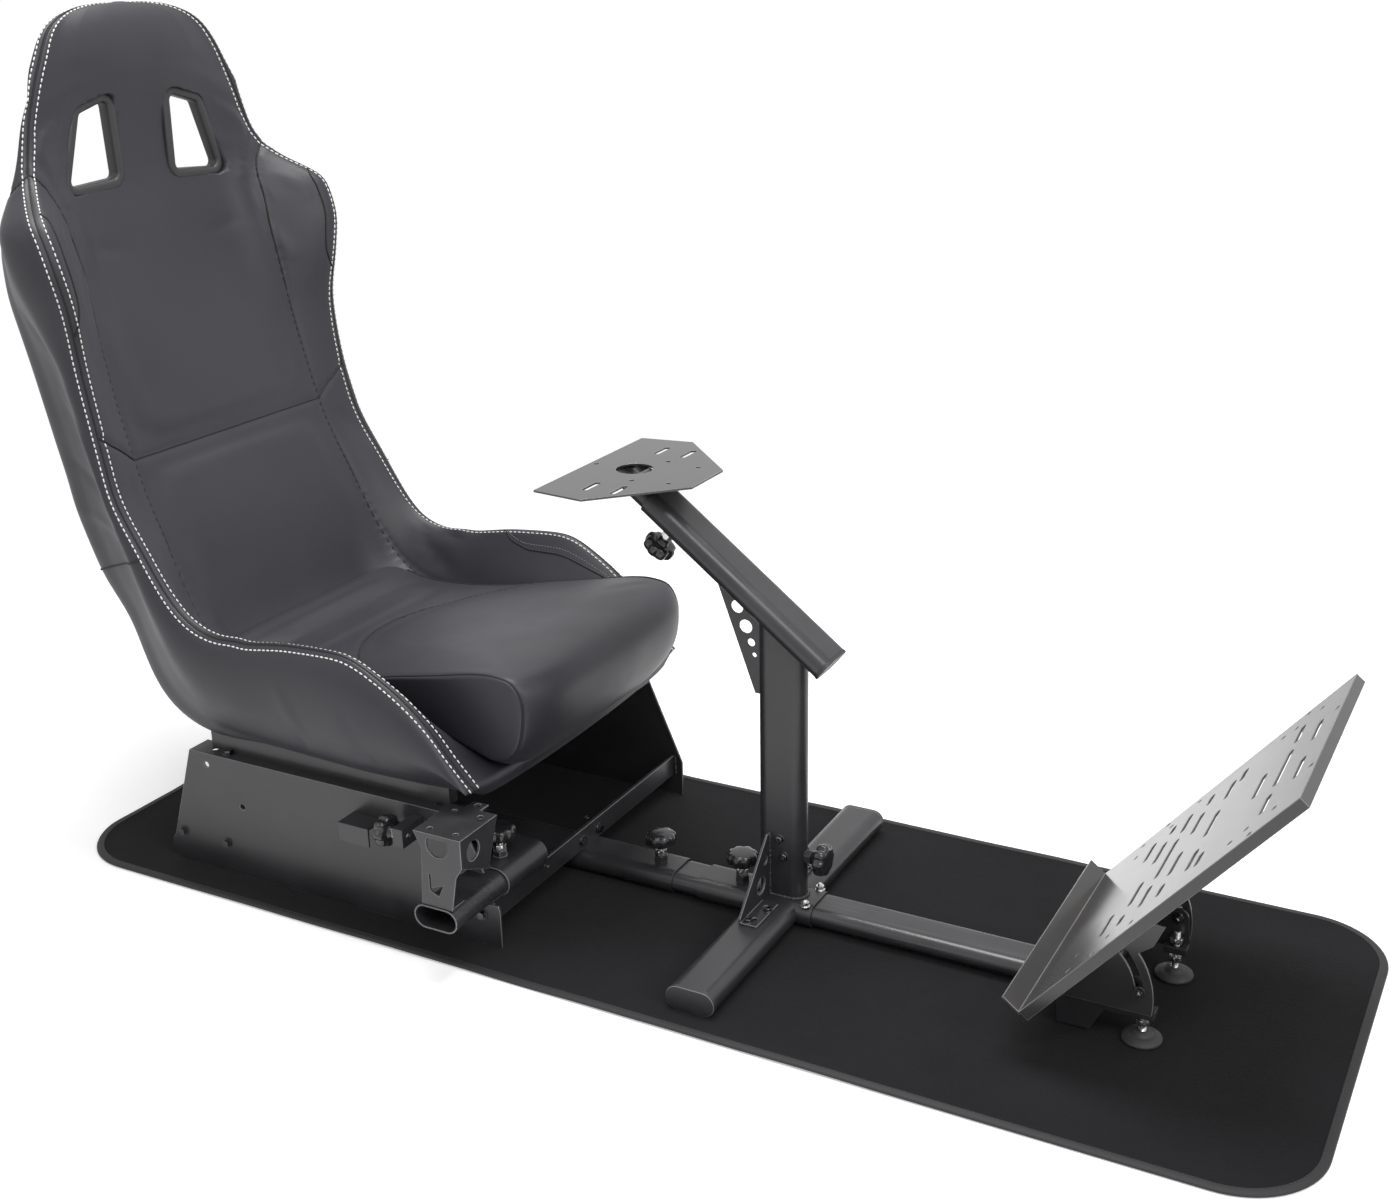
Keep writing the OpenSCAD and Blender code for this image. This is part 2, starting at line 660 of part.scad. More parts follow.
// Bracket strip on the right side plate: a folded shelf behind and an ear for the lock knob
bracket_x0 = -345;
bracket_x1 = -240;
bracket_z = 140;
bracket_h = 25;
shelf_len = 45;
shelf_d = 31;
lock_ear_t = 15;
lock_ear_h = 24;
lock_ear_d = 41;
lock_y = -plate_y - 29;
lock_z = 5;
lock_grip = 26;
module shifter_bracket() {
    color("#2b2b2d") translate([0, -plate_y, bracket_z]) difference() {
        union() {
            translate([bracket_x0, -sheet_t, -bracket_h]) cube([bracket_x1 - bracket_x0, sheet_t, bracket_h]);
            translate([bracket_x0, -shelf_d, -sheet_t]) cube([shelf_len, shelf_d, sheet_t]);
            translate([bracket_x0, -shelf_d, -bracket_h]) cube([shelf_len, sheet_t, bracket_h]);
            translate([bracket_x1 - lock_ear_t, -lock_ear_d, lock_z - lock_ear_h / 2])
                cube([lock_ear_t, lock_ear_d, lock_ear_h]);
        }
        translate([bracket_x1 - lock_ear_t - 1, lock_y + plate_y, lock_z]) rotate([0, 90, 0])
            cylinder(r = stem_r + stem_gap, h = lock_ear_t + 2);
    }
}
module shifter_lock_knob() {
    color("#1d1d1f") translate([bracket_x1 - lock_grip, lock_y, bracket_z + lock_z]) rotate([0, -90, 0])
        star_knob(lock_grip);
}

// Bucket seat: sections across the seat, each
// [front x, front z, lean, wing height, half width, panel half width, back thickness, back corner]
seat_stations = [
    [-797, 1058, 0, 6, 78, 50, 24, 60],
    [-796, 1040, 0, 12, 116, 70, 40, 98],
    [-794, 1000, 0, 18, 150, 90, 50, 112],
    [-792, 950, 0, 14, 176, 120, 56, 110],
    [-790, 893, 0, 14, 198, 140, 60, 95],
    [-788, 855, 6, 40, 226, 160, 60, 85],
    [-784, 838, 9, 52, 240, 163, 60, 80],
    [-776, 808, 14, 74, 262, 168, 60, 74],
    [-765, 762, 18, 78, 262, 170, 60, 70],
    [-750, 715, 18, 65, 252, 172, 72, 64],
    [-728, 650, 18, 34, 239, 174, 92, 60],
    [-705, 575, 18, 20, 238, 176, 101, 60],
    [-688, 523, 18, 14, 241, 177, 105, 60],
    [-680, 500, 18, 12, 243, 178, 107, 60],
    [-650, 425, 20, 24, 246, 182, 107, 60],
    [-625, 350, 25, 45, 247, 186, 82, 60],
    [-600, 290, 42, 78, 247, 188, 86, 57],
    [-560, 248, 59, 104, 247, 188, 58, 46],
    [-480, 226, 84, 112, 248, 190, 28, 34],
    [-400, 224, 92, 126, 252, 191, 26, 34],
    [-320, 224, 94, 130, 256, 192, 26, 34],
    [-260, 224, 94, 101, 254, 192, 26, 34],
    [-205, 224, 92, 51, 251, 192, 26, 34],
    [-184, 222, 90, 22, 248, 192, 24, 34],
    [-158, 212, 90, 2, 246, 192, 14, 34]];
split_row = 14;
pad_top_row = 6;
pad_low_row = 12;
pad_last_row = 16;
pad_t = 16;
// One section as a closed loop of points around the wall, sunk by d where a pad lies in it
function half_section(s, d) = let (h = s[3], w = s[4], p = s[5], t = s[6], c = s[7])
    [[p, -d], [p + 2, 0.4 * h], [w - 0.45 * (w - p), 0.86 * h], [w - 0.2 * (w - p), h],
     [w, 0.84 * h], [w + 3, 0.3 * h], [w - 0.35 * c, -0.2 * t], [w - 0.7 * c, -0.6 * t], [w - c, -t]];
function section(s, d) = let (h = half_section(s, d), n = len(h) - 1)
    concat([for (i = [0 : n]) h[i]], [for (i = [n : -1 : 0]) [-h[i][0], h[i][1]]]);
function lay(s, loop) = [for (q = loop) [s[0] + q[1] * cos(s[2]), q[0], s[1] + q[1] * sin(s[2])]];
function sink(i) = i >= pad_top_row && i <= pad_last_row ? pad_t + seat_gap : 0;
function shell_row(i) = lay(seat_stations[i], section(seat_stations[i], sink(i)));
// Skin over a list of sections, closed at both ends
module loft(rows) {
    n = len(rows[0]);
    m = len(rows);
    points = [for (r = rows) for (p = r) p];
    sides = [for (i = [0 : m - 2], j = [0 : n - 1]) let (k = (j + 1) % n)
        each [[i * n + j, i * n + k, (i + 1) * n + k], [i * n + j, (i + 1) * n + k, (i + 1) * n + j]]];
    ends = [[for (j = [n - 1 : -1 : 0]) j], [for (j = [0 : n - 1]) (m - 1) * n + j]];
    polyhedron(points, concat(sides, ends), convexity = 6);
}
// Belt opening outline on the head, y across and z up
slot_poly = [[55, 855], [121, 852], [95, 936], [55, 948]];
belt_front = -784;
belt_depth = 72;
module belt_hole(s, grow) {
    translate([belt_front - 1.6 * belt_depth, 0, 0]) rotate([90, 0, 90]) linear_extrude(2.2 * belt_depth)
        mirror([s < 0 ? 1 : 0, 0]) offset(r = grow) polygon(slot_poly);
}
bezel_w = 11;
module seat_upper_shell() {
    color("#3a3a3e") difference() {
        loft([for (i = [0 : split_row]) shell_row(i)]);
        for (s = [-1, 1]) belt_hole(s, bezel_w);
    }
}
module seat_lower_shell() {
    color("#3a3a3e") loft([for (i = [split_row : len(seat_stations) - 1]) shell_row(i)]);
}
module belt_bezel(s) {
    color("#18181a") intersection() {
        difference() {
            belt_hole(s, bezel_w - seat_gap);
            belt_hole(s, 0);
        }
        translate([belt_front - belt_depth, -thigh_half, slot_poly[0][1] - 2 * bezel_w])
            cube([belt_depth, 2 * thigh_half, slot_poly[3][1] - slot_poly[0][1] + 4 * bezel_w]);
    }
}
module belt_bezel_left() { belt_bezel(1); }
module belt_bezel_right() { belt_bezel(-1); }

// Row of a pad that lies in the shell, its edges raised towards the wings
pad_roll = 50;
function mix(a, b, f) = a * (1 - f) + b * f;
function pad_row(s) = let (w = s[5] - seat_gap, m = s[5] - pad_roll, dish = 0.35 * s[3])
    lay(s, [[w, -pad_t], [w, dish], [m, 0], [-m, 0], [-w, dish], [-w, -pad_t]]);
// Flat padded panel of the back, from the crease below the head to the lumbar seam
module back_pad() {
    color("#39393c") loft([for (i = [pad_top_row : pad_low_row]) pad_row(seat_stations[i])]);
}
// Lower panel of the back, from the lumbar seam down to the cushion
module lumbar_pad() {
    s = seat_stations;
    color("#3b3b3e") loft([pad_row(mix(s[pad_low_row], s[pad_low_row + 1], 0.04)),
        pad_row(s[pad_low_row + 1]), pad_row(s[split_row]), pad_row(s[split_row + 1]),
        pad_row(mix(s[split_row + 1], s[split_row + 2], 0.95))]);
}
// Seat cushion on the shell's floor with a thick nose rolled over its front edge
function on_floor(s, g) = [s[0] + g * cos(s[2]), s[1] + g * sin(s[2])];
nose_x = -93;
nose_r = 40;
cushion_top = [[-150, 197], [nose_x - 30, 224], [nose_x - 3, 265], [nose_x, 305], [nose_x - 20, 331],
    [-182, 336], [-304, 316], [-400, 292], [-500, 283], [-588, 298]];
// Plan of the cushion with its two front corners rounded
module nose_plan() {
    translate([-2 * deck_z, -cushion_half]) square([2 * deck_z - nose_r, 2 * cushion_half]);
    translate([-nose_r - 1, -cushion_half + nose_r]) square([nose_r + 1, 2 * (cushion_half - nose_r)]);
    for (s = [-1, 1]) translate([-nose_r, s * (cushion_half - nose_r)]) circle(r = nose_r);
}
module seat_cushion() {
    last = len(seat_stations) - 1;
    front = seat_stations[last][0] + seat_gap;
    color("#3d3d40") intersection() {
        translate([0, cushion_half, 0]) rotate([90, 0, 0]) linear_extrude(2 * cushion_half)
            polygon(concat([for (i = [split_row + 2 : last - 1]) on_floor(seat_stations[i], seat_gap)],
                [[front, seat_stations[last][1]], [front, seat_floor]], cushion_top));
        translate([nose_x, 0, 0]) linear_extrude(deck_z) nose_plan();
    }
}

floor_mat();
side_plate_left();
side_plate_right();
front_crossbar();
rear_crossbar();
seat_rail_left();
seat_rail_right();
rear_spine_tube();
rear_spine_knob();
spine_link_tube();
stand_sleeve();
stand_rear_knob();
post_knob();
cross_foot_left();
cross_foot_right();
foot_cap_left();
foot_cap_right();
post();
post_gusset_left();
post_gusset_right();
arm_outer_tube();
arm_gusset();
arm_end_cap();
arm_knob();
arm_inner_tube();
wheel_plate();
pedal_tube();
pedal_frame();
pedal_foot_left();
pedal_foot_right();
pedal_plate();
shifter_sleeve();
shifter_knob();
shifter_tube();
shifter_tower();
shifter_bracket();
shifter_lock_knob();
seat_lower_shell();
seat_upper_shell();
back_pad();
lumbar_pad();
seat_cushion();
belt_bezel_left();
belt_bezel_right();
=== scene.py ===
import math

import bmesh
import bpy
import numpy as np
from mathutils import Matrix, Vector


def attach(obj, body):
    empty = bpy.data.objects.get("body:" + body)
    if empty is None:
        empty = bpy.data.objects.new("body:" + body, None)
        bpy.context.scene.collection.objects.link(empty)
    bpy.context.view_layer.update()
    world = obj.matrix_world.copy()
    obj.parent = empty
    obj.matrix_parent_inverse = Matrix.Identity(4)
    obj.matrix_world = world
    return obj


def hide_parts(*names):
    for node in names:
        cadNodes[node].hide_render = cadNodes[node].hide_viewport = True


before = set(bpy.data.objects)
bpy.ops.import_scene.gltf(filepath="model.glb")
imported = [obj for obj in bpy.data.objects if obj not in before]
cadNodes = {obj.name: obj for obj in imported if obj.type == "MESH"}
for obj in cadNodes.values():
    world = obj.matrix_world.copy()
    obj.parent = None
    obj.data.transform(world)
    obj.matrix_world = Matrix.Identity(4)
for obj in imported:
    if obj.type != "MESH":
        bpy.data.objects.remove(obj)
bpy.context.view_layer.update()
mm = 0.001  # sizes below are in millimetres, those of the camera and the studio in metres
print("frame loaded:", len(cadNodes), "nodes")


# materials
def newMaterial(name):
    made = bpy.data.materials.new(name)
    made.use_nodes = True
    tree = made.node_tree
    tree.nodes.clear()
    shader = tree.nodes.new("ShaderNodeBsdfPrincipled")
    output = tree.nodes.new("ShaderNodeOutputMaterial")
    tree.links.new(shader.outputs["BSDF"], output.inputs["Surface"])
    return made, tree, shader


def setInput(tree, socket, value):
    if isinstance(value, bpy.types.NodeSocket):
        tree.links.new(value, socket)
    elif hasattr(value, "__len__") and len(value) == 3 and socket.type == "RGBA":
        socket.default_value = (*value, 1.0)
    else:
        socket.default_value = value


def setInputs(tree, node, values):
    for name, value in values.items():
        setInput(tree, node.inputs[name], value)
    return node


def addNode(tree, kind, inputs=None, **settings):
    made = tree.nodes.new(kind)
    for name, value in settings.items():
        setattr(made, name, value)
    return setInputs(tree, made, inputs or {})


def objectCoords(tree, stretch=(1, 1, 1)):
    coords = tree.nodes.new("ShaderNodeTexCoord").outputs["Object"]
    if stretch == (1, 1, 1):
        return coords
    return addNode(tree, "ShaderNodeMapping", {"Vector": coords, "Scale": stretch}).outputs["Vector"]


def noiseFrom(tree, coords, scale, detail=3.0, roughness=0.5):
    made = addNode(tree, "ShaderNodeTexNoise",
                   {"Vector": coords, "Scale": scale, "Detail": detail, "Roughness": roughness})
    return made.outputs["Fac"]


def mapRange(tree, value, low, high, fromLow=0.3, fromHigh=0.7):
    made = addNode(tree, "ShaderNodeMapRange", {"Value": value, "From Min": fromLow, "From Max": fromHigh,
                                                "To Min": low, "To Max": high})
    return made.outputs["Result"]


def mixColours(tree, factor, first, second):
    made = tree.nodes.new("ShaderNodeMix")
    made.data_type = "RGBA"
    setInput(tree, made.inputs[0], factor)
    setInput(tree, made.inputs[6], first)
    setInput(tree, made.inputs[7], second)
    return made.outputs[2]


def bumpFrom(tree, layers):
    # layers: (height, strength, depth in mm), the first lies lowest
    normal = None
    for height, strength, depth in layers:
        inputs = {"Height": height, "Strength": strength, "Distance": depth * mm}
        if normal is not None:
            inputs["Normal"] = normal
        normal = addNode(tree, "ShaderNodeBump", inputs).outputs["Normal"]
    return normal


leatherLook = {
    "dark": (0.0172, 0.0163, 0.0212),
    "light": (0.0225, 0.0214, 0.0276),
    "grainPerMetre": 760.0,
    "poresPerMetre": 1900.0,
    "grainDepth": 0.16,
    "creaseDepth": 1.1,
    "poreDepth": 0.05,
    "roughness": (0.43, 0.51),
    "shine": 0.42,
    "sheen": 0.05,
    "sheenTint": (0.92, 0.93, 1.0),
}


def makeLeather(name, look):
    made, tree, shader = newMaterial(name)
    coords = objectCoords(tree)
    cloudy = noiseFrom(tree, coords, 5.0, 2.0)
    patchy = noiseFrom(tree, coords, 14.0, 3.0)
    grain = addNode(tree, "ShaderNodeTexVoronoi", {"Vector": coords, "Scale": look["grainPerMetre"]},
                    feature="SMOOTH_F1").outputs["Distance"]
    pores = noiseFrom(tree, coords, look["poresPerMetre"], 2.0)
    creases = noiseFrom(tree, objectCoords(tree, (1.0, 1.6, 0.55)), 38.0, 4.0, 0.55)
    setInputs(tree, shader, {
        "Base Color": mixColours(tree, mapRange(tree, cloudy, 0.0, 1.0), look["dark"], look["light"]),
        "Roughness": mapRange(tree, patchy, *look["roughness"]),
        "Specular IOR Level": look["shine"],
        "Sheen Weight": look["sheen"],
        "Sheen Roughness": 0.4,
        "Sheen Tint": look["sheenTint"],
        "Normal": bumpFrom(tree, [(creases, 0.10, look["creaseDepth"]), (grain, 0.45, look["grainDepth"]),
                                  (pores, 0.25, look["poreDepth"])])})
    return made


steelLook = {
    # darkest and lightest tone of each coat
    "black": ((0.020, 0.020, 0.022), (0.030, 0.030, 0.033)),
    "grey": ((0.034, 0.032, 0.032), (0.040, 0.038, 0.037)),
    # edge: tones of the coat on broken edges, a painted highlight along them
    "edge": ((0.10, 0.10, 0.105), (0.16, 0.16, 0.165)),
    "peelPerMetre": 900.0,
    "specksPerMetre": 3200.0,
    "bump": 0.22,
    "rubbedLift": 2.2,      # how much lighter the rubbed streaks are
}


def makePowderCoat(name, tones, rough=(0.29, 0.37), wearAndHighlight=None, peelDepth=0.10):
    low, high = tones
    made, tree, shader = newMaterial(name)
    coords = objectCoords(tree)
    peel = noiseFrom(tree, coords, steelLook["peelPerMetre"], 2.0)
    specks = noiseFrom(tree, coords, steelLook["specksPerMetre"], 1.0)
    dusty = noiseFrom(tree, coords, 16.0, 5.0, 0.6)
    tone = mixColours(tree, mapRange(tree, dusty, 0.0, 1.0), low, high)
    if wearAndHighlight is not None:  # long faint streaks left by the sleeve
        streaks = noiseFrom(tree, objectCoords(tree, wearAndHighlight), 40.0, 4.0)
        mask = mapRange(tree, streaks, 0.0, 0.55, 0.52, 0.70)
        tone = mixColours(tree, mask, tone, tuple(c * steelLook["rubbedLift"] for c in high))
    bump = steelLook["bump"]
    setInputs(tree, shader, {
        "Base Color": tone,
        "Roughness": mapRange(tree, dusty, *rough),
        "Normal": bumpFrom(tree, [(peel, bump, peelDepth), (specks, bump, 0.4 * peelDepth)])})
    return made


def makePlastic(name, tone, rough, grain):
    made, tree, shader = newMaterial(name)
    coords = objectCoords(tree)
    soft = noiseFrom(tree, coords, 120.0, 3.0)
    fine = noiseFrom(tree, coords, 2400.0, 2.0)
    setInputs(tree, shader, {
        "Base Color": mixColours(tree, soft, tuple(c * 0.8 for c in tone), tuple(c * 1.25 for c in tone)),
        "Roughness": mapRange(tree, soft, rough * 0.85, rough * 1.15),
        "Normal": bumpFrom(tree, [(fine, 0.3, grain)])})
    return made


def makeZinc(name, low, high):
    made, tree, shader = newMaterial(name)
    cloudy = noiseFrom(tree, objectCoords(tree), 260.0, 3.0)
    brushed = noiseFrom(tree, objectCoords(tree, (1, 1, 9)), 420.0, 2.0)
    setInputs(tree, shader, {
        "Metallic": 1.0,
        "Base Color": mixColours(tree, cloudy, low, high),
        "Roughness": mapRange(tree, cloudy, 0.20, 0.36),
        "Normal": bumpFrom(tree, [(brushed, 0.15, 0.05)])})
    return made


def makeThread(name, tone, sheen=0.2):
    made, tree, shader = newMaterial(name)
    twist = noiseFrom(tree, objectCoords(tree), 2600.0, 2.0)
    setInputs(tree, shader, {
        "Base Color": mixColours(tree, twist, tuple(c * 0.72 for c in tone), tone),
        "Roughness": 0.7,
        "Sheen Weight": sheen,
        "Normal": bumpFrom(tree, [(twist, 0.4, 0.08)])})
    return made


def makeCarpet(name, low, high):
    made, tree, shader = newMaterial(name)
    coords = objectCoords(tree)
    pile = noiseFrom(tree, coords, 1500.0, 3.0, 0.7)
    tufts = noiseFrom(tree, coords, 420.0, 3.0, 0.6)
    brushed = noiseFrom(tree, coords, 6.0, 5.0, 0.6)
    tone = mixColours(tree, mapRange(tree, pile, 0.0, 1.0, 0.42, 0.66), low, high)
    worn = mapRange(tree, brushed, 0.0, 0.5)
    setInputs(tree, shader, {
        "Base Color": mixColours(tree, worn, tone, tuple(c * 0.75 for c in low)),
        "Roughness": 0.95,
        "Specular IOR Level": 0.10,
        "Sheen Weight": 0.06,
        "Sheen Roughness": 0.5,
        "Normal": bumpFrom(tree, [(tufts, 0.5, 1.0), (pile, 0.8, 0.5)])})
    return made


leather = makeLeather("grainedLeather", leatherLook)
blackCoat = makePowderCoat("blackPowderCoat", steelLook["black"])
innerCoat = makePowderCoat("slidingTubeCoat", steelLook["black"], (0.26, 0.34), wearAndHighlight=(0.15, 6, 6))
greyCoat = makePowderCoat("greyPowderCoat", steelLook["grey"], (0.17, 0.20), peelDepth=0.008)
# lighter coat for the faces of broken edges: a painted highlight where the edges catch the light
paintedHighlightCoat = makePowderCoat("paintedEdgeHighlight", steelLook["edge"], (0.24, 0.30))
knobPlastic = makePlastic("knobPlastic", (0.018, 0.018, 0.020), 0.17, 0.012)
capPlastic = makePlastic("mouldedCapPlastic", (0.020, 0.020, 0.022), 0.48, 0.08)
rubber = makePlastic("footRubber", (0.030, 0.030, 0.031), 0.62, 0.10)
zinc = makeZinc("zincPlate", (0.50, 0.50, 0.51), (0.78, 0.77, 0.75))
blackZinc = makeZinc("blackZincPlate", (0.060, 0.060, 0.065), (0.16, 0.16, 0.165))
whiteThread = makeThread("whiteThread", (0.80, 0.80, 0.78))
darkThread = makeThread("darkThread", (0.012, 0.012, 0.014))
seamShadow = makeThread("seamShadow", (0.0020, 0.0019, 0.0024), 0.0)
greyThread = makeThread("greyThread", (0.20, 0.20, 0.21))
carpet = makeCarpet("blackPile", (0.0066, 0.0062, 0.0072), (0.0175, 0.0165, 0.0188))
bindingCloth = makeThread("bindingCloth", (0.0125, 0.0120, 0.0140), 0.02)
print("materials ready")


# mesh helpers, in millimetres
weldGap = 0.01  # points closer than this become one


def addObject(name, data):
    made = bpy.data.objects.new(name, data)
    bpy.context.scene.collection.objects.link(made)
    return made


def plainMesh(name, points, edges, faces):
    mesh = bpy.data.meshes.new(name)
    mesh.from_pydata([tuple(float(c) * mm for c in p) for p in points], edges, faces)
    return mesh


def evaluatedMesh(obj):
    return bpy.data.meshes.new_from_object(obj.evaluated_get(bpy.context.evaluated_depsgraph_get()))


def makePiece(name, points, faces, material, body, smooth=True, slotName=None):
    mesh = plainMesh(name, points, [], faces)
    mesh.update()
    made = addObject(name, mesh)
    mesh.materials.append(material)
    mesh.polygons.foreach_set("use_smooth", [smooth] * len(mesh.polygons))
    if body is not None:
        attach(made, body)
    return made


def cleanNormals(obj, sharp=None):
    # welds what touches and turns the faces outwards; edges over the sharp angle stay crisp
    shape = bmesh.new()
    shape.from_mesh(obj.data)
    bmesh.ops.remove_doubles(shape, verts=shape.verts, dist=weldGap * mm)
    bmesh.ops.recalc_face_normals(shape, faces=shape.faces)
    shape.to_mesh(obj.data)
    shape.free()
    obj.data.update()
    if sharp is not None:
        obj.data.set_sharp_from_angle(angle=math.radians(sharp))


def splitEnds(obj):
    # cuts the many-sided end faces into triangles
    shape = bmesh.new()
    shape.from_mesh(obj.data)
    bmesh.ops.triangulate(shape, faces=[f for f in shape.faces if len(f.verts) > 4])
    bmesh.ops.recalc_face_normals(shape, faces=shape.faces)
    shape.to_mesh(obj.data)
    shape.free()


def sideWord(side):
    return "Left" if side > 0 else "Right"


def joinParts(parts):
    # parts: (points, faces) pairs, as one
    points, faces = [], []
    for somePoints, someFaces in parts:
        start = len(points)
        points.extend(somePoints)
        faces.extend([tuple(i + start for i in f) for f in someFaces])
    return points, faces


def movePoints(part, matrix):
    return [tuple(matrix @ Vector(p)) for p in part[0]], part[1]


def gridFaces(rows, columns, closedRows=False):
    faces = []
    for i in range(rows if closedRows else rows - 1):
        for j in range(columns):
            k, m = (j + 1) % columns, (i + 1) % rows
            faces.append((i * columns + j, i * columns + k, m * columns + k, m * columns + j))
    return faces


def stackLoops(loops, capped=True):
    # skin over loops of equal count, capped at both ends or closed from the last loop to the first
    rows, columns = len(loops), len(loops[0])
    faces = gridFaces(rows, columns, closedRows=not capped)
    if capped:
        last = (rows - 1) * columns
        faces += [tuple(reversed(range(columns))), tuple(range(last, last + columns))]
    return [tuple(p) for loop in loops for p in loop], faces


def latheShape(profile, steps=32, lobes=None):
    # profile: (radius, height) from the bottom up, capped at both ends
    loops = []
    for r, z in profile:
        loop = []
        for i in range(steps):
            a = 2 * math.pi * i / steps
            swell = lobes(a, r, z) if lobes else r
            loop.append((swell * math.cos(a), swell * math.sin(a), z))
        loops.append(loop)
    return stackLoops(loops)


def sweepTube(path, radius, steps=8):
    path = [Vector(p) for p in path]
    loops, last = [], len(path) - 1
    side = Vector((0.3, 0.2, 0.93))  # a slanted start, so that it lies along no path here
    for i, p in enumerate(path):
        along = (path[min(i + 1, last)] - path[max(i - 1, 0)]).normalized()
        side = (side - along * side.dot(along)).normalized()
        other = along.cross(side)
        turns = [2 * math.pi * k / steps for k in range(steps)]
        loops.append([p + side * (radius * math.cos(a)) + other * (radius * math.sin(a)) for a in turns])
    return stackLoops(loops)


def aimMatrix(place, axis):
    return Matrix.Translation(Vector(place)) @ Vector(axis).to_track_quat("Z", "Y").to_matrix().to_4x4()


def monotoneCurve(knots, values, at):
    # smooth curve through the values that doesn't overshoot them
    knots, values, at = np.asarray(knots, float), np.asarray(values, float), np.asarray(at, float)
    if values.ndim == 1:
        values = values[:, None]
    gaps = np.diff(knots)[:, None]
    slopes = np.diff(values, axis=0) / gaps
    tangents = np.zeros_like(values)
    tangents[0], tangents[-1] = slopes[0], slopes[-1]
    same = slopes[:-1] * slopes[1:] > 0
    w1 = 2 * gaps[1:] + gaps[:-1]
    w2 = gaps[1:] + 2 * gaps[:-1]
    safeA = np.where(same, slopes[:-1], 1.0)
    safeB = np.where(same, slopes[1:], 1.0)
    tangents[1:-1] = np.where(same, (w1 + w2) / (w1 / safeA + w2 / safeB), 0.0)
    i = np.clip(np.searchsorted(knots, at, side="right") - 1, 0, len(knots) - 2)
    h = gaps[i]
    t = ((at - knots[i]) / h[:, 0])[:, None]
    return ((2 * t**3 - 3 * t**2 + 1) * values[i] + (t**3 - 2 * t**2 + t) * h * tangents[i]
            + (-2 * t**3 + 3 * t**2) * values[i + 1] + (t**3 - t**2) * h * tangents[i + 1])


def roundCurve(points, steps, closed=False, ease=0.5):
    # centripetal curve through the points, steps for each stretch
    points = np.asarray(points, float)
    count = len(points)
    out = []
    for i in range(count if closed else count - 1):
        p1, p2 = points[i], points[(i + 1) % count]
        p0 = points[(i - 1) % count] if closed or i > 0 else 2 * p1 - p2
        p3 = points[(i + 2) % count] if closed or i < count - 2 else 2 * p2 - p1
        d01, d12, d23 = (max(np.linalg.norm(b - a), 1e-6) ** ease for a, b in ((p0, p1), (p1, p2), (p2, p3)))
        m1 = (p2 - p1) + d12 * ((p1 - p0) / d01 - (p2 - p0) / (d01 + d12))
        m2 = (p2 - p1) + d12 * ((p3 - p2) / d23 - (p3 - p1) / (d12 + d23))
        n = steps[i] if hasattr(steps, "__len__") else steps
        for s in range(n):
            t = s / n
            out.append((2 * t**3 - 3 * t**2 + 1) * p1 + (t**3 - 2 * t**2 + t) * m1
                       + (-2 * t**3 + 3 * t**2) * p2 + (t**3 - t**2) * m2)
    if not closed:
        out.append(points[-1])
    return np.array(out)


# racing seat
seatShape = {
    # front x, front z, lean, wing height, half width, panel half width, thickness, back corner
    "stations": [
        (-795, 1066.5, 25, -1, 14, 8, 7, 9), (-792, 1065, 25, -2, 58, 36, 11, 38),
        (-787, 1060, 25, -4, 94, 60, 17, 60), (-778, 1043, 18, -7, 131, 84, 27, 70),
        (-770, 1002, 6, -9, 158, 98, 42, 66), (-780, 960, 0, 0, 177, 118, 32, 60),
        (-788, 934, 0, 9, 187, 128, 22, 62), (-790, 893, 0, 15, 200, 142, 20, 64),
        (-788, 858, 5, 36, 224, 158, 24, 62),
        (-784, 836, 9, 56, 246, 163, 38, 66), (-776, 806, 14, 76, 267, 168, 56, 60),
        (-765, 762, 18, 80, 267, 170, 60, 52), (-750, 715, 18, 67, 256, 172, 72, 46),
        (-728, 650, 18, 37, 242, 174, 92, 44), (-705, 575, 18, 22, 239, 176, 101, 44),
        (-688, 523, 18, 15, 241, 177, 105, 46), (-680, 500, 18, 13, 243, 178, 107, 46),
        (-650, 425, 20, 25, 246, 182, 108, 48), (-625, 350, 25, 47, 247, 186, 88, 50),
        (-600, 290, 42, 82, 247, 188, 94, 50), (-560, 248, 59, 111, 247, 188, 66, 42),
        (-480, 226, 84, 119, 249, 190, 28, 32), (-400, 224, 92, 130, 253, 191, 26, 32),
        (-320, 224, 94, 134, 257, 192, 26, 32), (-260, 224, 94, 107, 255, 192, 26, 32),
        (-205, 224, 92, 57, 251, 192, 26, 32), (-184, 222, 90, 25, 248, 192, 24, 32),
        (-158, 212, 90, 2, 246, 192, 14, 32)],
    "rowStep": 5.0,        # distance between rows of the cover
    "easing": 14,
    "dish": 0.35,          # how far the panel's edges rise towards the wings
    "dishWidth": 62.0,
    "lumbarRow": 142.0,    # row of the cross seam below the back panel
}


def seatRows():
    stations = np.array(seatShape["stations"], float)
    lean = np.radians(stations[:, 2])
    ridge = stations[:, [0, 1]] + stations[:, [3]] * np.stack([np.cos(lean), np.sin(lean)], axis=1)
    ridge = np.column_stack([ridge, stations[:, 4]])
    front = np.column_stack([stations[:, [0, 1]], stations[:, 4] * 0])
    steps = np.maximum(np.linalg.norm(np.diff(ridge, axis=0), axis=1),
                       np.linalg.norm(np.diff(front, axis=0), axis=1))
    knots = np.concatenate([[0], np.cumsum(steps)])
    count = int(knots[-1] / seatShape["rowStep"]) + 1
    soft = monotoneCurve(knots, stations, np.linspace(0, knots[-1], count))
    for _ in range(seatShape["easing"]):  # rounds off the turns between stations
        soft[3:-3] = 0.25 * soft[2:-4] + 0.5 * soft[3:-3] + 0.25 * soft[4:-2]
    return soft


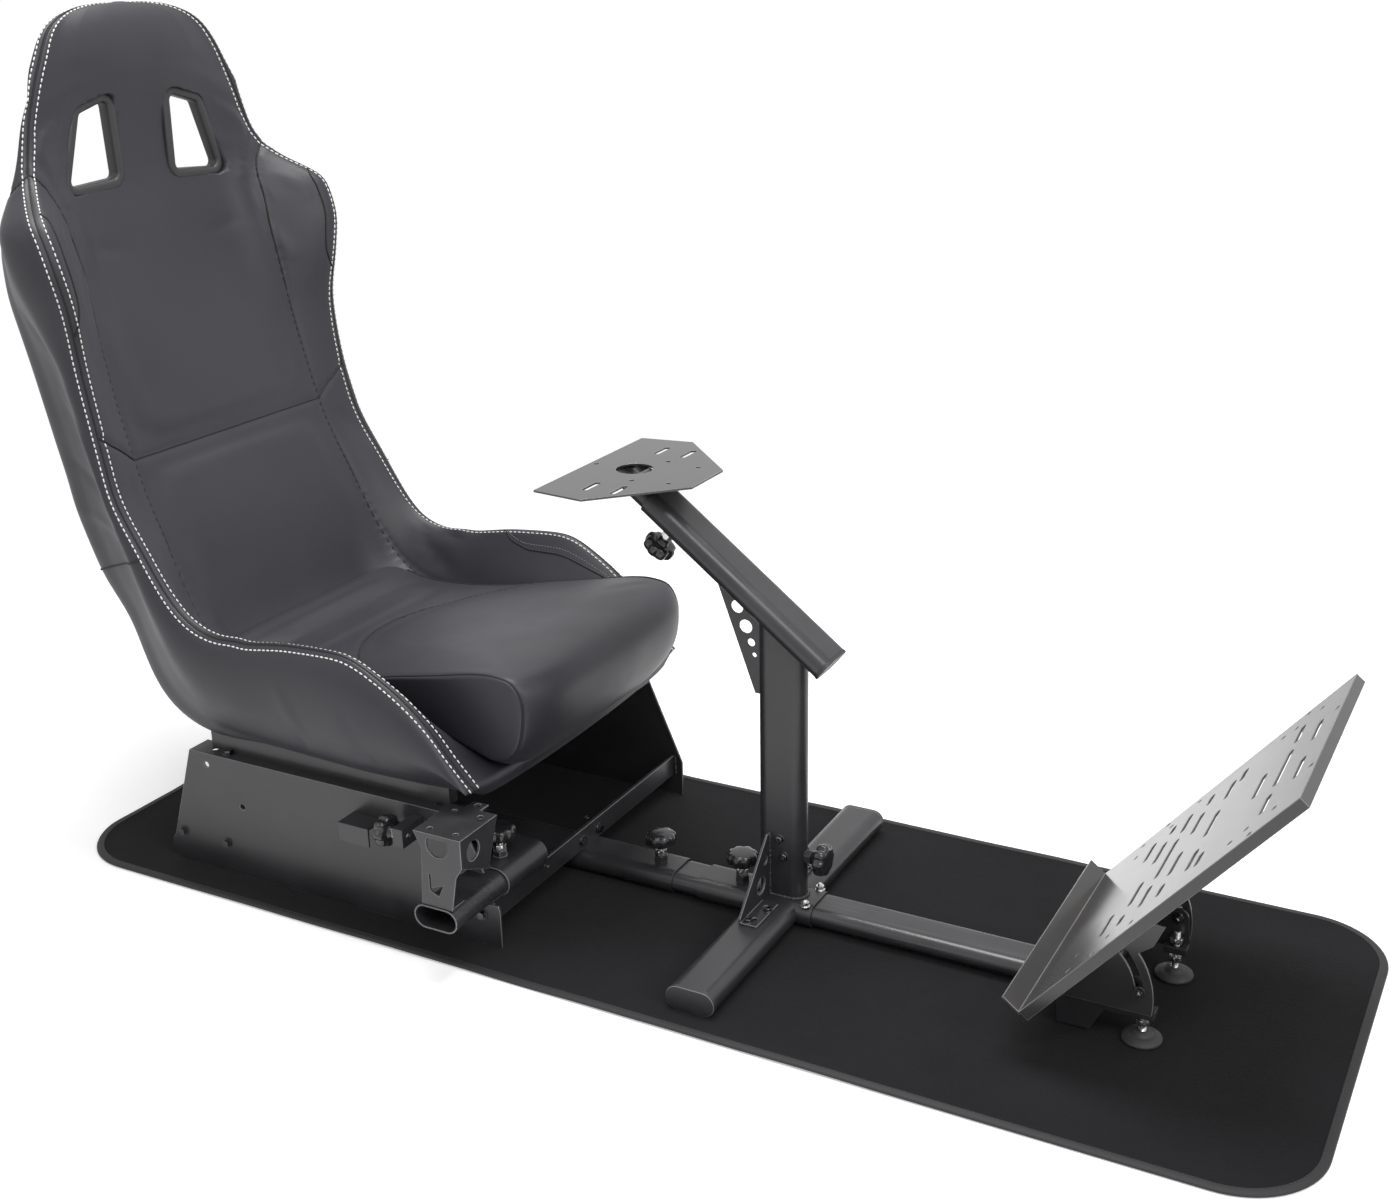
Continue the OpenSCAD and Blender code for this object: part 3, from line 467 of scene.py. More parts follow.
def halfSection(row):
    h, w, p, t, c = row[3:]  # wing height, half width, panel half width, thickness, back corner
    dish = seatShape["dish"] * h
    bend = min(seatShape["dishWidth"], 0.6 * p)
    inner = []
    for k in range(17):  # from the middle out to the panel seam, closer together near it
        y = p * (1 - (1 - k / 16) ** 1.5)
        rise = max(0.0, (y - (p - bend)) / bend)
        inner.append((y, dish * rise * rise * (1.6 - 0.6 * rise)))
    up, low = max(h, 0.0), min(h, 0.0)
    roll = min(1.0, -low / 8)  # where the edge lies behind the panel the side rolls back
    outer = [(p, dish), (p + 0.3 * (w - p), dish + 0.55 * (0.86 * h - dish)), (w - 0.45 * (w - p), 0.86 * h),
             (w - 0.2 * (w - p), h), (w, 0.84 * up + low - 0.08 * t * roll),
             (w + 3, 0.3 * up + low - 0.2 * t * roll), (w - 0.35 * c, -0.2 * t + 0.5 * low - 0.2 * t * roll),
             (w - 0.7 * c, -0.6 * t - 0.1 * t * roll), (w - c, -t), (0.5 * (w - c), -t - 0.04 * (w - c)),
             (0, -t - 0.05 * (w - c))]
    curve = roundCurve(outer, [5, 5, 8, 9, 8, 7, 6, 5, 5, 5])
    return np.array(inner[:-1]), curve


def laySection(row, points):
    lean = math.radians(row[2])
    return np.column_stack([row[0] + points[:, 1] * math.cos(lean), points[:, 0],
                            row[1] + points[:, 1] * math.sin(lean)])


def makeSeatGrid():
    loops = []
    for row in seatRows():
        inner, outer = halfSection(row)
        right = np.vstack([inner, outer])          # middle of the front to middle of the back
        left = right[1:-1][::-1] * (-1, 1)
        loops.append(laySection(row, np.vstack([right, left])))
    return np.array(loops), len(inner)


seatGrid, seamColumn = makeSeatGrid()
rowCount, columnCount = seatGrid.shape[:2]
crestAt = seamColumn + 22   # column of the piped edge


def gridPoint(grid, i, j):
    # place on a grid at a fraction of a row and a column
    rows, columns = grid.shape[:2]
    i = min(max(i, 0), rows - 1.001)
    a, b = int(i), int(math.floor(j))
    f, g = i - a, j - math.floor(j)
    b0, b1 = b % columns, (b + 1) % columns
    top = grid[a, b0] * (1 - g) + grid[a, b1] * g
    low = grid[a + 1, b0] * (1 - g) + grid[a + 1, b1] * g
    return top * (1 - f) + low * f


def onGrid(grid, curve):
    return np.array([gridPoint(grid, i, j) for i, j in curve])


def gridNormals(grid):
    around = np.roll(grid, -1, axis=1) - np.roll(grid, 1, axis=1)
    along = np.gradient(grid, axis=0)
    normal = np.cross(around, along)
    normal /= np.maximum(np.linalg.norm(normal, axis=2, keepdims=True), 1e-9)
    outwards = grid - grid.mean(axis=1, keepdims=True)
    return normal if (outwards * normal).sum() > 0 else -normal


def bothSides(path):
    # a path on the right half and its mirror image
    path = np.asarray(path, float)
    return [path, path * (1, -1) + (0, columnCount)]


coverSeams = {
    # (row, columns out from the panel seam)
    "panelSeam": [(61, 22), (63, 14), (66, 8), (70, 4.5), (76, 2), (84, 0.8), (95, 0), (110, 0), (130, 0),
                  (150, 0), (170, 0), (200, 0), (225, 0)],
    "wingSeam": [(142, 0), (139, 5), (136.5, 12), (134.5, 20)],
    "shoulderSeam": [(61, 23), (62.5, 28), (65, 33), (68, 38), (70, 44), (71, 52), (71, 58)],
}
patchSeams = {  # rows of grey stitches round the darker patches
    "shoulderPatch": [(76, 19), (79, 15), (84, 14), (91, 14), (97, 13.5), (102, 14), (106, 17), (109, 21)],
    "thighPatch": [(233, 17), (237, 12), (242, 9.5), (248, 9), (254, 9), (260, 9), (266, 9.5), (272, 10.5)],
}


def seamCurves(table):
    curves = []
    for path in table.values():
        fine = roundCurve([(r, seamColumn + c) for r, c in path], 10)
        curves += bothSides(fine)
    return curves


seamLines = seamCurves(coverSeams)
seamLines.append(np.array([(seatShape["lumbarRow"], j) for j in np.linspace(-seamColumn, seamColumn, 90)]))


def distanceTo(points, curves):
    # distance of every point from the nearest of the curves
    flat = points.reshape(-1, 3)
    best = np.full(len(flat), 1e9)
    for curve in curves:
        for part in np.array_split(curve, max(1, len(curve) // 40)):
            gap = np.sqrt(((flat[:, None, :] - part[None]) ** 2).sum(2)).min(1)
            best = np.minimum(best, gap)
    return best.reshape(points.shape[:-1])


paddingCloth = {
    "quality": 5, "mass": 0.3, "tension_stiffness": 25, "compression_stiffness": 25, "shear_stiffness": 12,
    "bending_stiffness": 1.5, "air_damping": 2, "use_pressure": True, "vertex_group_mass": "sewn",
}


def simulatePadding(name, points, faces, pins, pressure, cap, frames=20):
    # swells a closed shape with cloth under pressure, pinned where it is sewn
    points = np.asarray(points, float)
    mesh = plainMesh(name, points, [], faces)
    obj = addObject(name, mesh)
    group = obj.vertex_groups.new(name="sewn")
    levels = np.round(pins, 1)
    for level in np.unique(levels):
        if level > 0:
            group.add([int(k) for k in np.nonzero(levels == level)[0]], float(level), "REPLACE")
    cloth = obj.modifiers.new("cloth", "CLOTH")
    for setting, value in paddingCloth.items():
        setattr(cloth.settings, setting, value)
    cloth.settings.uniform_pressure_force = pressure
    cloth.settings.effector_weights.gravity = 0
    cloth.collision_settings.use_collision = False
    cloth.point_cache.frame_start = 1
    cloth.point_cache.frame_end = frames
    scene = bpy.context.scene
    scene.frame_start, scene.frame_end = 1, frames
    for f in range(1, frames + 1):
        scene.frame_set(f)
    moved = obj.evaluated_get(bpy.context.evaluated_depsgraph_get()).to_mesh()
    out = np.zeros(len(points) * 3, np.float32)
    moved.vertices.foreach_get("co", out)
    out = out.reshape(-1, 3).astype(float) / mm
    scene.frame_set(1)
    bpy.data.objects.remove(obj)
    bpy.data.meshes.remove(mesh)
    step = out - points
    length = np.linalg.norm(step, axis=1, keepdims=True)
    print(name, "swelled", round(float(length.max()), 1), "mm before the cap")
    return points + step * np.minimum(1, cap / np.maximum(length, 1e-6))


def growBack(coarse, shape, strideRow, strideColumn):
    # spreads a coarse field over the full grid
    rows, columns = shape
    i = np.minimum(np.arange(rows) / strideRow, coarse.shape[0] - 1.001)
    j = (np.arange(columns) / strideColumn) % coarse.shape[1]
    a, b = i.astype(int), j.astype(int)
    f, g = (i - a)[:, None, None], (j - b)[None, :, None]
    b1 = (b + 1) % coarse.shape[1]
    return ((coarse[a][:, b] * (1 - f) + coarse[a + 1][:, b] * f) * (1 - g)
            + (coarse[a][:, b1] * (1 - f) + coarse[a + 1][:, b1] * f) * g)


def swellGrid(name, grid, strides, pins, pressure, cap):
    # pads a closed grid: cloth on some of its rows and columns, spread back over all of them
    coarse = grid[::strides[0], ::strides[1]]
    rows, columns = coarse.shape[:2]
    ends = [tuple(range(columns)), tuple(reversed(range((rows - 1) * columns, rows * columns)))]
    faces = gridFaces(rows, columns) + ends
    around = np.roll(coarse, -1, 1) - coarse
    if (gridNormals(coarse) * np.cross(around, np.gradient(coarse, axis=0))).sum() < 0:
        faces = [tuple(reversed(f)) for f in faces]
    swelled = simulatePadding(name, coarse.reshape(-1, 3), faces, pins.ravel(), pressure, cap)
    return grid + growBack(swelled.reshape(coarse.shape) - coarse, grid.shape[:2], *strides)


coverPadding = {
    "pressure": 3.0,
    "puff": 5.0,            # most that the padding may swell
    "hold": 1.25,           # how firmly a seam holds the cover, fully above 1
    "holdReach": 26.0,
    "edgeHold": 0.9,        # hold from just inside the piped edge outwards
    "edgeColumns": 3,
    "backColumns": 14,      # fully held from this many columns behind the piped edge
    "topRows": 6,
    "lowRows": 8,
}


def padSeatCover():
    look = coverPadding
    coarse = seatGrid[::2, ::2]
    sewn = distanceTo(coarse, [onGrid(seatGrid, c) for c in seamLines])
    pins = np.clip(look["hold"] - sewn / look["holdReach"], 0, 1)
    column = np.arange(0, columnCount, 2)
    outside = np.minimum(column, columnCount - column)
    edge = outside > crestAt - look["edgeColumns"]
    pins[:, edge] = np.maximum(pins[:, edge], look["edgeHold"])
    pins[:, outside > crestAt + look["backColumns"]] = 1.0
    pins[:look["topRows"]] = 1.0
    pins[-look["lowRows"]:] = 1.0
    return swellGrid("seatPadding", seatGrid, (2, 2), pins, look["pressure"], look["puff"])


def sewGrooves(grid, curves, depth, width):
    gap = distanceTo(grid, [onGrid(grid, c) for c in curves])
    return grid - gridNormals(grid) * (depth * np.exp(-(gap / width) ** 2))[..., None]


seatSewing = {
    # (row, columns out from the panel seam) of the seam that runs all round the edge
    "crest": [(0, 22.5), (60, 22.6), (75, 22.2), (110, 21.6), (142, 21.4), (200, 20.8), (240, 19.4),
              (285, 18.6), (rowCount - 1, 16.5)],
    "halfGap": 7.8,         # from the seam to either row of thread
    "shadeTubeRadius": 1.4,
    "shadeTubeSides": 6,
    "hemRow": 165.5,
    "seamGroove": (2.6, 3.8),   # depth and width
    "crestGroove": (1.1, 2.6),
}


def crestPath(rows):
    # the edge seam as (row, column), on the right half
    knots = np.array(seatSewing["crest"])
    return np.column_stack([rows, seamColumn + np.interp(rows, knots[:, 0], knots[:, 1])])


folds = {
    # soft pulls in the leather: (row, columns out from the panel seam), depth and width in mm
    "openingOut": ([(88, -4), (92, -1), (97, 1.5), (103, 3)], -1.6, 9.0),
    "openingLow": ([(86, -6), (88, -8), (89, -11)], 1.8, 8.0),
    "openingHigh": ([(57, -6), (59, -3), (62, 2)], -1.5, 9.0),
    "shoulderPull": ([(74, 4), (80, 8), (87, 10)], -1.5, 8.0),
    "wingBase": ([(146, 4), (152, 9), (159, 15)], 1.2, 8.0),
    "backLow": ([(196, -5), (205, -1), (212, 4)], -1.4, 9.0),
    "sideFirst": ([(120, 44), (133, 37), (147, 33)], -2.2, 8.0),
    "sideSecond": ([(136, 50), (146, 42), (157, 36)], 2.2, 7.0),
    "sideThird": ([(150, 52), (155, 44), (161, 38)], -2.0, 6.0),
    "sideFourth": ([(96, 46), (108, 40), (121, 36)], 1.8, 9.0),
    "thighFirst": ([(232, 30), (238, 36), (241, 44)], -1.6, 9.0),
    "thighSecond": ([(254, 31), (258, 38), (259, 47)], 1.4, 9.0),
}


def pressFolds(grid):
    for path, depth, width in folds.values():
        fine = roundCurve([(r, seamColumn + c) for r, c in path], 12)
        for curve in bothSides(fine):
            line = onGrid(grid, curve)
            flat = grid.reshape(-1, 3)
            gaps = np.linalg.norm(flat[:, None, :] - line[None], axis=2)
            nearest = gaps.argmin(axis=1) / (len(line) - 1)
            taper = np.clip(4 * nearest * (1 - nearest), 0, 1) ** 0.7
            press = depth * taper * np.exp(-(gaps.min(axis=1) / width) ** 2)
            grid = grid - gridNormals(grid) * press.reshape(grid.shape[:2])[..., None]
    return grid


softGrid = pressFolds(padSeatCover())
softGrid = sewGrooves(softGrid, seamLines, *seatSewing["seamGroove"])
softGrid = sewGrooves(softGrid, bothSides(crestPath(np.arange(rowCount - 1.0))), *seatSewing["crestGroove"])
coverNormals = gridNormals(softGrid)
print("seat cover shaped", softGrid.shape)


def gridPiece(name, grid):
    made = makePiece(name, *stackLoops(grid), leather, None)
    splitEnds(made)
    return made


beltHole = {
    "corners": [(52, 857), (130, 852), (101, 938), (55, 951)],
    # (forward place, offset out from the opening) of the hole through the cover, flared at the back
    "tunnel": [(-724, 10.0), (-790, 10.0), (-801, 27.0), (-880, 27.0)],
    "cornerRadius": 9.0,
}


def beltOutlines(side, stations, radius, share, steps=6):
    # the opening's outline at each (forward place, offset out), its corners rounder by share of the offset
    corners = [(side * y, z) for y, z in beltHole["corners"]]
    return [[(x, y, z) for y, z in roundedOutline(corners, offset, radius + share * offset, steps)]
            for x, offset in stations]


def roundedOutline(corners, offset, radius, steps=6):
    # offset outline of a convex polygon with rounded corners, counter-clockwise
    pts = [Vector(c) for c in corners]
    if sum(a.x * b.y - b.x * a.y for a, b in zip(pts, pts[1:] + pts[:1])) < 0:
        pts.reverse()
    n = len(pts)
    out = []
    for i in range(n):
        a, b, c = pts[i - 1], pts[i], pts[(i + 1) % n]
        d1, d2 = (b - a).normalized(), (c - b).normalized()
        n1, n2 = Vector((d1.y, -d1.x)), Vector((d2.y, -d2.x))
        spread = (n1 + n2) / max(1e-6, 1 + n1.dot(n2))
        corner = b + spread * offset
        centre = corner - spread * radius
        a1, a2 = math.atan2(n1.y, n1.x), math.atan2(n2.y, n2.x)
        if a2 < a1:
            a2 += 2 * math.pi
        for k in range(steps + 1):
            t = a1 + (a2 - a1) * k / steps
            out.append((centre.x + radius * math.cos(t), centre.y + radius * math.sin(t)))
    return out


def makeSeatCover():
    cover = gridPiece("seatCover", softGrid)
    for side in (-1, 1):
        loops = beltOutlines(side, beltHole["tunnel"], beltHole["cornerRadius"], 0.4)
        cutter = makePiece("cutter", *stackLoops(loops), leather, None)
        cleanNormals(cutter)
        cut = cover.modifiers.new("cut", "BOOLEAN")
        cut.operation = "DIFFERENCE"
        cut.object = cutter
        cut.solver = "EXACT"
        mesh = evaluatedMesh(cover)
        cover.modifiers.clear()
        cover.data = mesh
        bpy.data.objects.remove(cutter)
    cover.data.name = "seatCover"
    cover.data.polygons.foreach_set("use_smooth", [True] * len(cover.data.polygons))
    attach(cover, "seat_base")
    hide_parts("seat_upper_shell", "seat_lower_shell", "back_pad", "lumbar_pad")
    return cover


seatCover = makeSeatCover()
print("seat cover", len(seatCover.data.polygons), "faces")


# thread, by Geometry Nodes
def newTree(name, sockets):
    tree = bpy.data.node_groups.new(name, "GeometryNodeTree")
    tree.interface.new_socket("Geometry", in_out="INPUT", socket_type="NodeSocketGeometry")
    for label, kind, value in sockets:
        made = tree.interface.new_socket(label, in_out="INPUT", socket_type=kind)
        if value is not None:
            made.default_value = value
    tree.interface.new_socket("Geometry", in_out="OUTPUT", socket_type="NodeSocketGeometry")
    return tree, tree.nodes.new("NodeGroupInput"), tree.nodes.new("NodeGroupOutput")


def endTree(tree, result, geometry, finish):
    done = addNode(tree, "GeometryNodeSetMaterial", {"Geometry": geometry, "Material": finish})
    tree.links.new(done.outputs["Geometry"], result.inputs["Geometry"])
    return tree


def makeBeadTree(name, sockets, segments, rings, sizeAndTurn):
    # one bead at every step along the paths
    tree, given, result = newTree(name, sockets)
    curve = addNode(tree, "GeometryNodeMeshToCurve", {"Mesh": given.outputs["Geometry"]})
    steps = addNode(tree, "GeometryNodeCurveToPoints", {
        "Curve": curve.outputs["Curve"], "Length": given.outputs["Spacing"]}, mode="LENGTH")
    bead = addNode(tree, "GeometryNodeMeshUVSphere", {"Segments": segments, "Rings": rings, "Radius": 0.5})
    size, turn = sizeAndTurn(tree, given.outputs, steps.outputs["Rotation"])
    placed = addNode(tree, "GeometryNodeInstanceOnPoints", {
        "Points": steps.outputs["Points"], "Instance": bead.outputs["Mesh"], "Rotation": turn, "Scale": size})
    real = addNode(tree, "GeometryNodeRealizeInstances", {"Geometry": placed.outputs["Instances"]})
    smooth = addNode(tree, "GeometryNodeSetShadeSmooth", {"Geometry": real.outputs["Geometry"]})
    return endTree(tree, result, smooth.outputs["Geometry"], given.outputs["Finish"])


def stitchSize(tree, given, rotation):
    size = addNode(tree, "ShaderNodeCombineXYZ", {
        "X": given["Stitch Width"], "Y": given["Stitch Width"], "Z": given["Stitch Length"]})
    lean = addNode(tree, "ShaderNodeCombineXYZ", {"X": given["Slant"]})
    turned = addNode(tree, "FunctionNodeRotateRotation", {"Rotation": rotation, "Rotate By": lean.outputs[0]},
                     rotation_space="LOCAL")
    return size.outputs[0], turned.outputs["Rotation"]


stitchTree = makeBeadTree("stitchRow", [
    ("Spacing", "NodeSocketFloat", 0.0058), ("Stitch Length", "NodeSocketFloat", 0.0042),
    ("Stitch Width", "NodeSocketFloat", 0.0015), ("Slant", "NodeSocketFloat", 0.0),
    ("Finish", "NodeSocketMaterial", None)], 8, 5, stitchSize)


def growNodes(name, points, edges, tree, values, body, attributes=None):
    # runs a tree on points and edges and keeps what it makes as a plain mesh
    mesh = plainMesh(name, points, edges, [])
    for label, vectors in (attributes or {}).items():
        layer = mesh.attributes.new(label, "FLOAT_VECTOR", "POINT")
        layer.data.foreach_set("vector", [float(c) for v in vectors for c in v])
    made = addObject(name, mesh)
    grow = made.modifiers.new("grow", "NODES")
    grow.node_group = tree
    for item in tree.interface.items_tree:
        if item.in_out == "INPUT" and item.name in values:
            grow[item.identifier] = values[item.name]
    plain = evaluatedMesh(made)
    made.modifiers.remove(grow)
    made.data = plain
    plain.name = name
    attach(made, body)
    return made


def pathsToEdges(paths, closed=False):
    points, edges = [], []
    for path in paths:
        start = len(points)
        points.extend(tuple(p) for p in path)
        edges.extend((start + k, start + k + 1) for k in range(len(path) - 1))
        if closed:
            edges.append((start + len(path) - 1, start))
    return points, edges


def sewRow(name, paths, thread, spacing=7.2, length=5.3, width=1.9, slant=0.0, closed=False):
    return growNodes(name, *pathsToEdges(paths, closed), stitchTree, {
        "Spacing": spacing * mm, "Stitch Length": length * mm, "Stitch Width": width * mm, "Slant": slant,
        "Finish": thread}, "seat_base")


def liftedCurve(grid, normals, curve, lift):
    return onGrid(grid, curve) + lift * onGrid(normals, curve)


def onCover(curves, lift):
    return [liftedCurve(softGrid, coverNormals, c, lift) for c in curves]


def crestCurves():
    # the edge seam and the thread row on either side of it
    middle = crestPath(np.arange(0, rowCount - 0.99, 1.0))
    curves = {0: middle}
    reach = np.linspace(0, 11, 45)  # columns searched for the thread row
    for sign in (-1, 1):
        columns = []
        for i, c in middle:
            line = np.array([gridPoint(softGrid, i, c + sign * s) for s in reach])
            run = np.concatenate([[0], np.cumsum(np.linalg.norm(np.diff(line, axis=0), axis=1))])
            columns.append(c + sign * np.interp(seatSewing["halfGap"], run, reach))
        smooth = np.convolve(np.pad(columns, 4, mode="edge"), np.ones(9) / 9, "valid")
        curves[sign] = np.column_stack([middle[:, 0], smooth])
    return curves


def sewSeat():
    crest = crestCurves()
    white = [c[2:] for sign in (-1, 1) for c in bothSides(crest[sign])]
    sewRow("edgeStitches", onCover(white, 0.25), whiteThread)
    middle = onCover([c[1:] for c in bothSides(crest[0])], -0.1)
    sewRow("edgeSeamStitches", middle, darkThread, 3.4, 3.6, 1.1, 0.7)
    patches = seamCurves(patchSeams)
    # the thigh patches have a second row beside the first
    thigh = [c + (0, 1.5 if k == 0 else -1.5) for k, c in enumerate(patches[2:])]
    sewRow("patchStitches", onCover(patches + thigh, 0.15), greyThread, 4.6, 3.3, 1.0)
    hem = [(seatSewing["hemRow"], j) for j in np.linspace(crestAt + 5, columnCount - crestAt - 5, 160)]
    # near-black tubes along the seams and the hem: painted shade in their grooves and under the hem, along
    # the edge seam also its dark piping
    seamShadeTubes = onCover(seamLines + patches, 0.1) + onCover([np.array(hem)], 0.5) + middle
    tubes = [sweepTube(c, seatSewing["shadeTubeRadius"], seatSewing["shadeTubeSides"]) for c in seamShadeTubes]
    makePiece("coverSeams", *joinParts(tubes), seamShadow, "seat_base", slotName="seat_leather")


sewSeat()
print("cover sewn")


# seat cushion
cushionShape = {
    # middle x, middle z, side x, side z, from the rear bottom corner forward and back over the top
    "outline": [
        (-592, 272, -590, 278), (-540, 249, -540, 264), (-460, 230, -460, 264), (-380, 228, -380, 264),
        (-300, 228, -300, 258), (-230, 228, -235, 250), (-186, 222, -192, 238), (-154, 205, -162, 229),
        (-128, 222, -142, 233), (-101, 262, -125, 252), (-93, 298, -117, 282), (-98, 321, -117, 310),
        (-117, 334, -129, 331), (-150, 337.5, -154, 337), (-185, 336, -182, 335), (-240, 327, -240, 323),
        (-304, 315, -304, 310), (-370, 300, -370, 295), (-440, 288, -440, 284), (-520, 284, -520, 281),
        (-588, 297, -588, 292)],
    "halfWidth": 185.0,
    "edgeBlend": 6.0,       # how late the section turns from its middle to its side shape
    "seamX": -457.0,        # cross seam at the middle
    "seamCurve": 0.0037,
    # (out from the side, share of the way in to the middle line) of the rings that close each side
    "gusset": [(2.0, 0.015), (3.4, 0.06), (3.6, 0.14), (3.6, 0.30), (3.6, 0.55), (3.6, 0.93)],
    "middleLine": (-565, -150, 272, 0.06),  # from and to forward, height at -400 and rise per mm
    "seamAbove": (275, -570),   # the cross seam lies over this height and in front of this place
    "restsBelow": (258, -170),  # held under this height, behind this place
    "underBack": -560,          # held behind this place, under the back pad
    "rowStep": 5.0,
    "acrossRows": 61,
    "puff": 2.4,
    "pressure": 2.0,
    "hold": 1.2,            # how firmly a seam holds the cover, fully above 1
    "holdReach": 24.0,
    "sideGroove": (1.2, 3.2),   # depth and width
    "crossGroove": (1.8, 3.4),
    "shadeTubeRadius": 1.5,
}


def makeCushionGrid():
    outline = np.array(cushionShape["outline"], float)
    fine = roundCurve(outline, 12, closed=True)
    gap = np.linalg.norm(np.diff(np.vstack([fine, fine[:1]])[:, :2], axis=0), axis=1)
    knots = np.concatenate([[0], np.cumsum(gap)])
    at = np.linspace(0, knots[-1], int(knots[-1] / cushionShape["rowStep"]) + 1)[:-1]
    loop = np.column_stack([np.interp(at, knots, np.append(fine[:, k], fine[0, k])) for k in range(4)])
    middle, side = loop[:, :2], loop[:, 2:]
    width = cushionShape["halfWidth"]
    # rows lie closer together towards the sides
    spread = np.sin(np.linspace(-0.5, 0.5, cushionShape["acrossRows"]) * math.pi * 0.86)
    across = width * spread / math.sin(0.43 * math.pi)
    rows = []
    for y in across:
        blend = abs(y / width) ** cushionShape["edgeBlend"]
        section = middle * (1 - blend) + side * blend
        rows.append(np.column_stack([section[:, 0], np.full(len(section), y), section[:, 1]]))
    rear, fore, height, rise = cushionShape["middleLine"]
    spineX = np.clip(side[:, 0], rear, fore)
    spine = np.column_stack([spineX, height + rise * (spineX + 400)])
    for bulge, inwards in cushionShape["gusset"]:
        section = side * (1 - inwards) + spine * inwards
        for sign in (-1, 1):
            ring = np.full(len(section), sign * (width + bulge))
            row = np.column_stack([section[:, 0], ring, section[:, 1]])
            rows.insert(0 if sign < 0 else len(rows), row)
    return np.array(rows), len(cushionShape["gusset"])


cushionGrid, gussetRows = makeCushionGrid()
stationCount, loopCount = cushionGrid.shape[:2]


def cushionSeams():
    curves = [np.array([(float(i), float(j)) for j in range(loopCount + 1)])
              for i in (gussetRows, stationCount - 1 - gussetRows)]
    above, infront = cushionShape["seamAbove"]
    cross = []
    for i in range(gussetRows, stationCount - gussetRows):
        section = cushionGrid[i]
        want = cushionShape["seamX"] + cushionShape["seamCurve"] * section[0, 1] ** 2
        top = [j for j in range(loopCount) if section[j, 2] > above and section[j, 0] > infront]
        j = min(top, key=lambda k: abs(section[k, 0] - want))
        step = section[(j + 1) % loopCount, 0] - section[j - 1, 0]
        cross.append((float(i), j + 2 * (want - section[j, 0]) / step))
    return curves, np.array(cross)


cushionSideSeams, cushionCrossSeam = cushionSeams()


def padCushion():
    look = cushionShape
    coarse = cushionGrid[:, ::2]
    sewn = distanceTo(coarse, [onGrid(cushionGrid, c) for c in (*cushionSideSeams, cushionCrossSeam)])
    pins = np.clip(look["hold"] - sewn / look["holdReach"], 0, 1)
    below, behind = look["restsBelow"]
    pins[(coarse[..., 2] < below) & (coarse[..., 0] < behind)] = 1.0
    pins[coarse[..., 0] < look["underBack"]] = 1.0
    pins[:gussetRows] = 1.0
    pins[-gussetRows:] = 1.0
    return swellGrid("cushionPadding", cushionGrid, (1, 2), pins, look["pressure"], look["puff"])


def makeCushion():
    grid = sewGrooves(padCushion(), cushionSideSeams, *cushionShape["sideGroove"])
    grid = sewGrooves(grid, [cushionCrossSeam], *cushionShape["crossGroove"])
    cushion = gridPiece("seatCushion", grid)
    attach(cushion, "seat_base")
    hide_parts("seat_cushion")
    normals = gridNormals(grid)
    # near-black tubes along the seams: painted shade in their grooves
    seamShadeTubes = [liftedCurve(grid, normals, c, 0.3) for c in cushionSideSeams]
    seamShadeTubes.append(liftedCurve(grid, normals, cushionCrossSeam, 0.1))
    tubes = [sweepTube(c, cushionShape["shadeTubeRadius"], seatSewing["shadeTubeSides"]) for c in seamShadeTubes]
    makePiece("cushionSeams", *joinParts(tubes), seamShadow, "seat_base", slotName="seat_leather")
    return cushion


seatCushion = makeCushion()
print("cushion", len(seatCushion.data.polygons), "faces")


# belt openings
bezelShape = {
    # (forward place, offset out from the opening): back of the inner wall, round the front lip, back again
    "section": [(-794, 0.0), (-787, 0.0), (-784, 0.3), (-781.6, 1.2), (-780.2, 3.2), (-779.6, 6.0),
                (-779.8, 10.2), (-781.2, 12.6), (-784.4, 13.6), (-788, 12.8), (-790, 11.4), (-793, 10.8),
                (-796.5, 10.0), (-798, 8.6), (-798, 3.5), (-797.2, 1.2), (-796, 0.4)],
    "cornerRadius": 7.0,
}


def makeBezel(side):
    loops = beltOutlines(side, bezelShape["section"], bezelShape["cornerRadius"], 1, 9)
    made = makePiece("beltBezel" + sideWord(side), *stackLoops(loops, capped=False), capPlastic, "seat_base",
                     slotName="cap_plastic")
    cleanNormals(made)
    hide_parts("belt_bezel_" + sideWord(side).lower())


for side in (-1, 1):
    makeBezel(side)


# steel frame: the frame's own nodes with broken edges
frameFinish = {
    "edge": 0.5,            # width of a broken edge
    "highlightEdge": 0.8,      # and of one whose bevel carries a painted highlight in a lighter coat
    "bevelFrom": 35.0,      # degrees between faces from which an edge is broken
    "flatWithin": 0.6,      # degrees within which neighbouring faces become one
    # nodes whose broken edges carry the painted highlight
    "wearAndHighlight": ("pedal_plate", "wheel_plate", "post_gusset_left", "post_gusset_right", "shifter_sleeve",
               "shifter_tube", "shifter_tower", "side_plate_right", "side_plate_left", "foot_cap_left",
               "foot_cap_right"),
    "finishes": {
        "frame_steel": blackCoat, "inner_steel": innerCoat, "grey_steel": greyCoat,
        "knob_plastic": knobPlastic, "cap_plastic": capPlastic, "foot_rubber": rubber, "carpet": carpet,
        "seat_leather": leather},
}


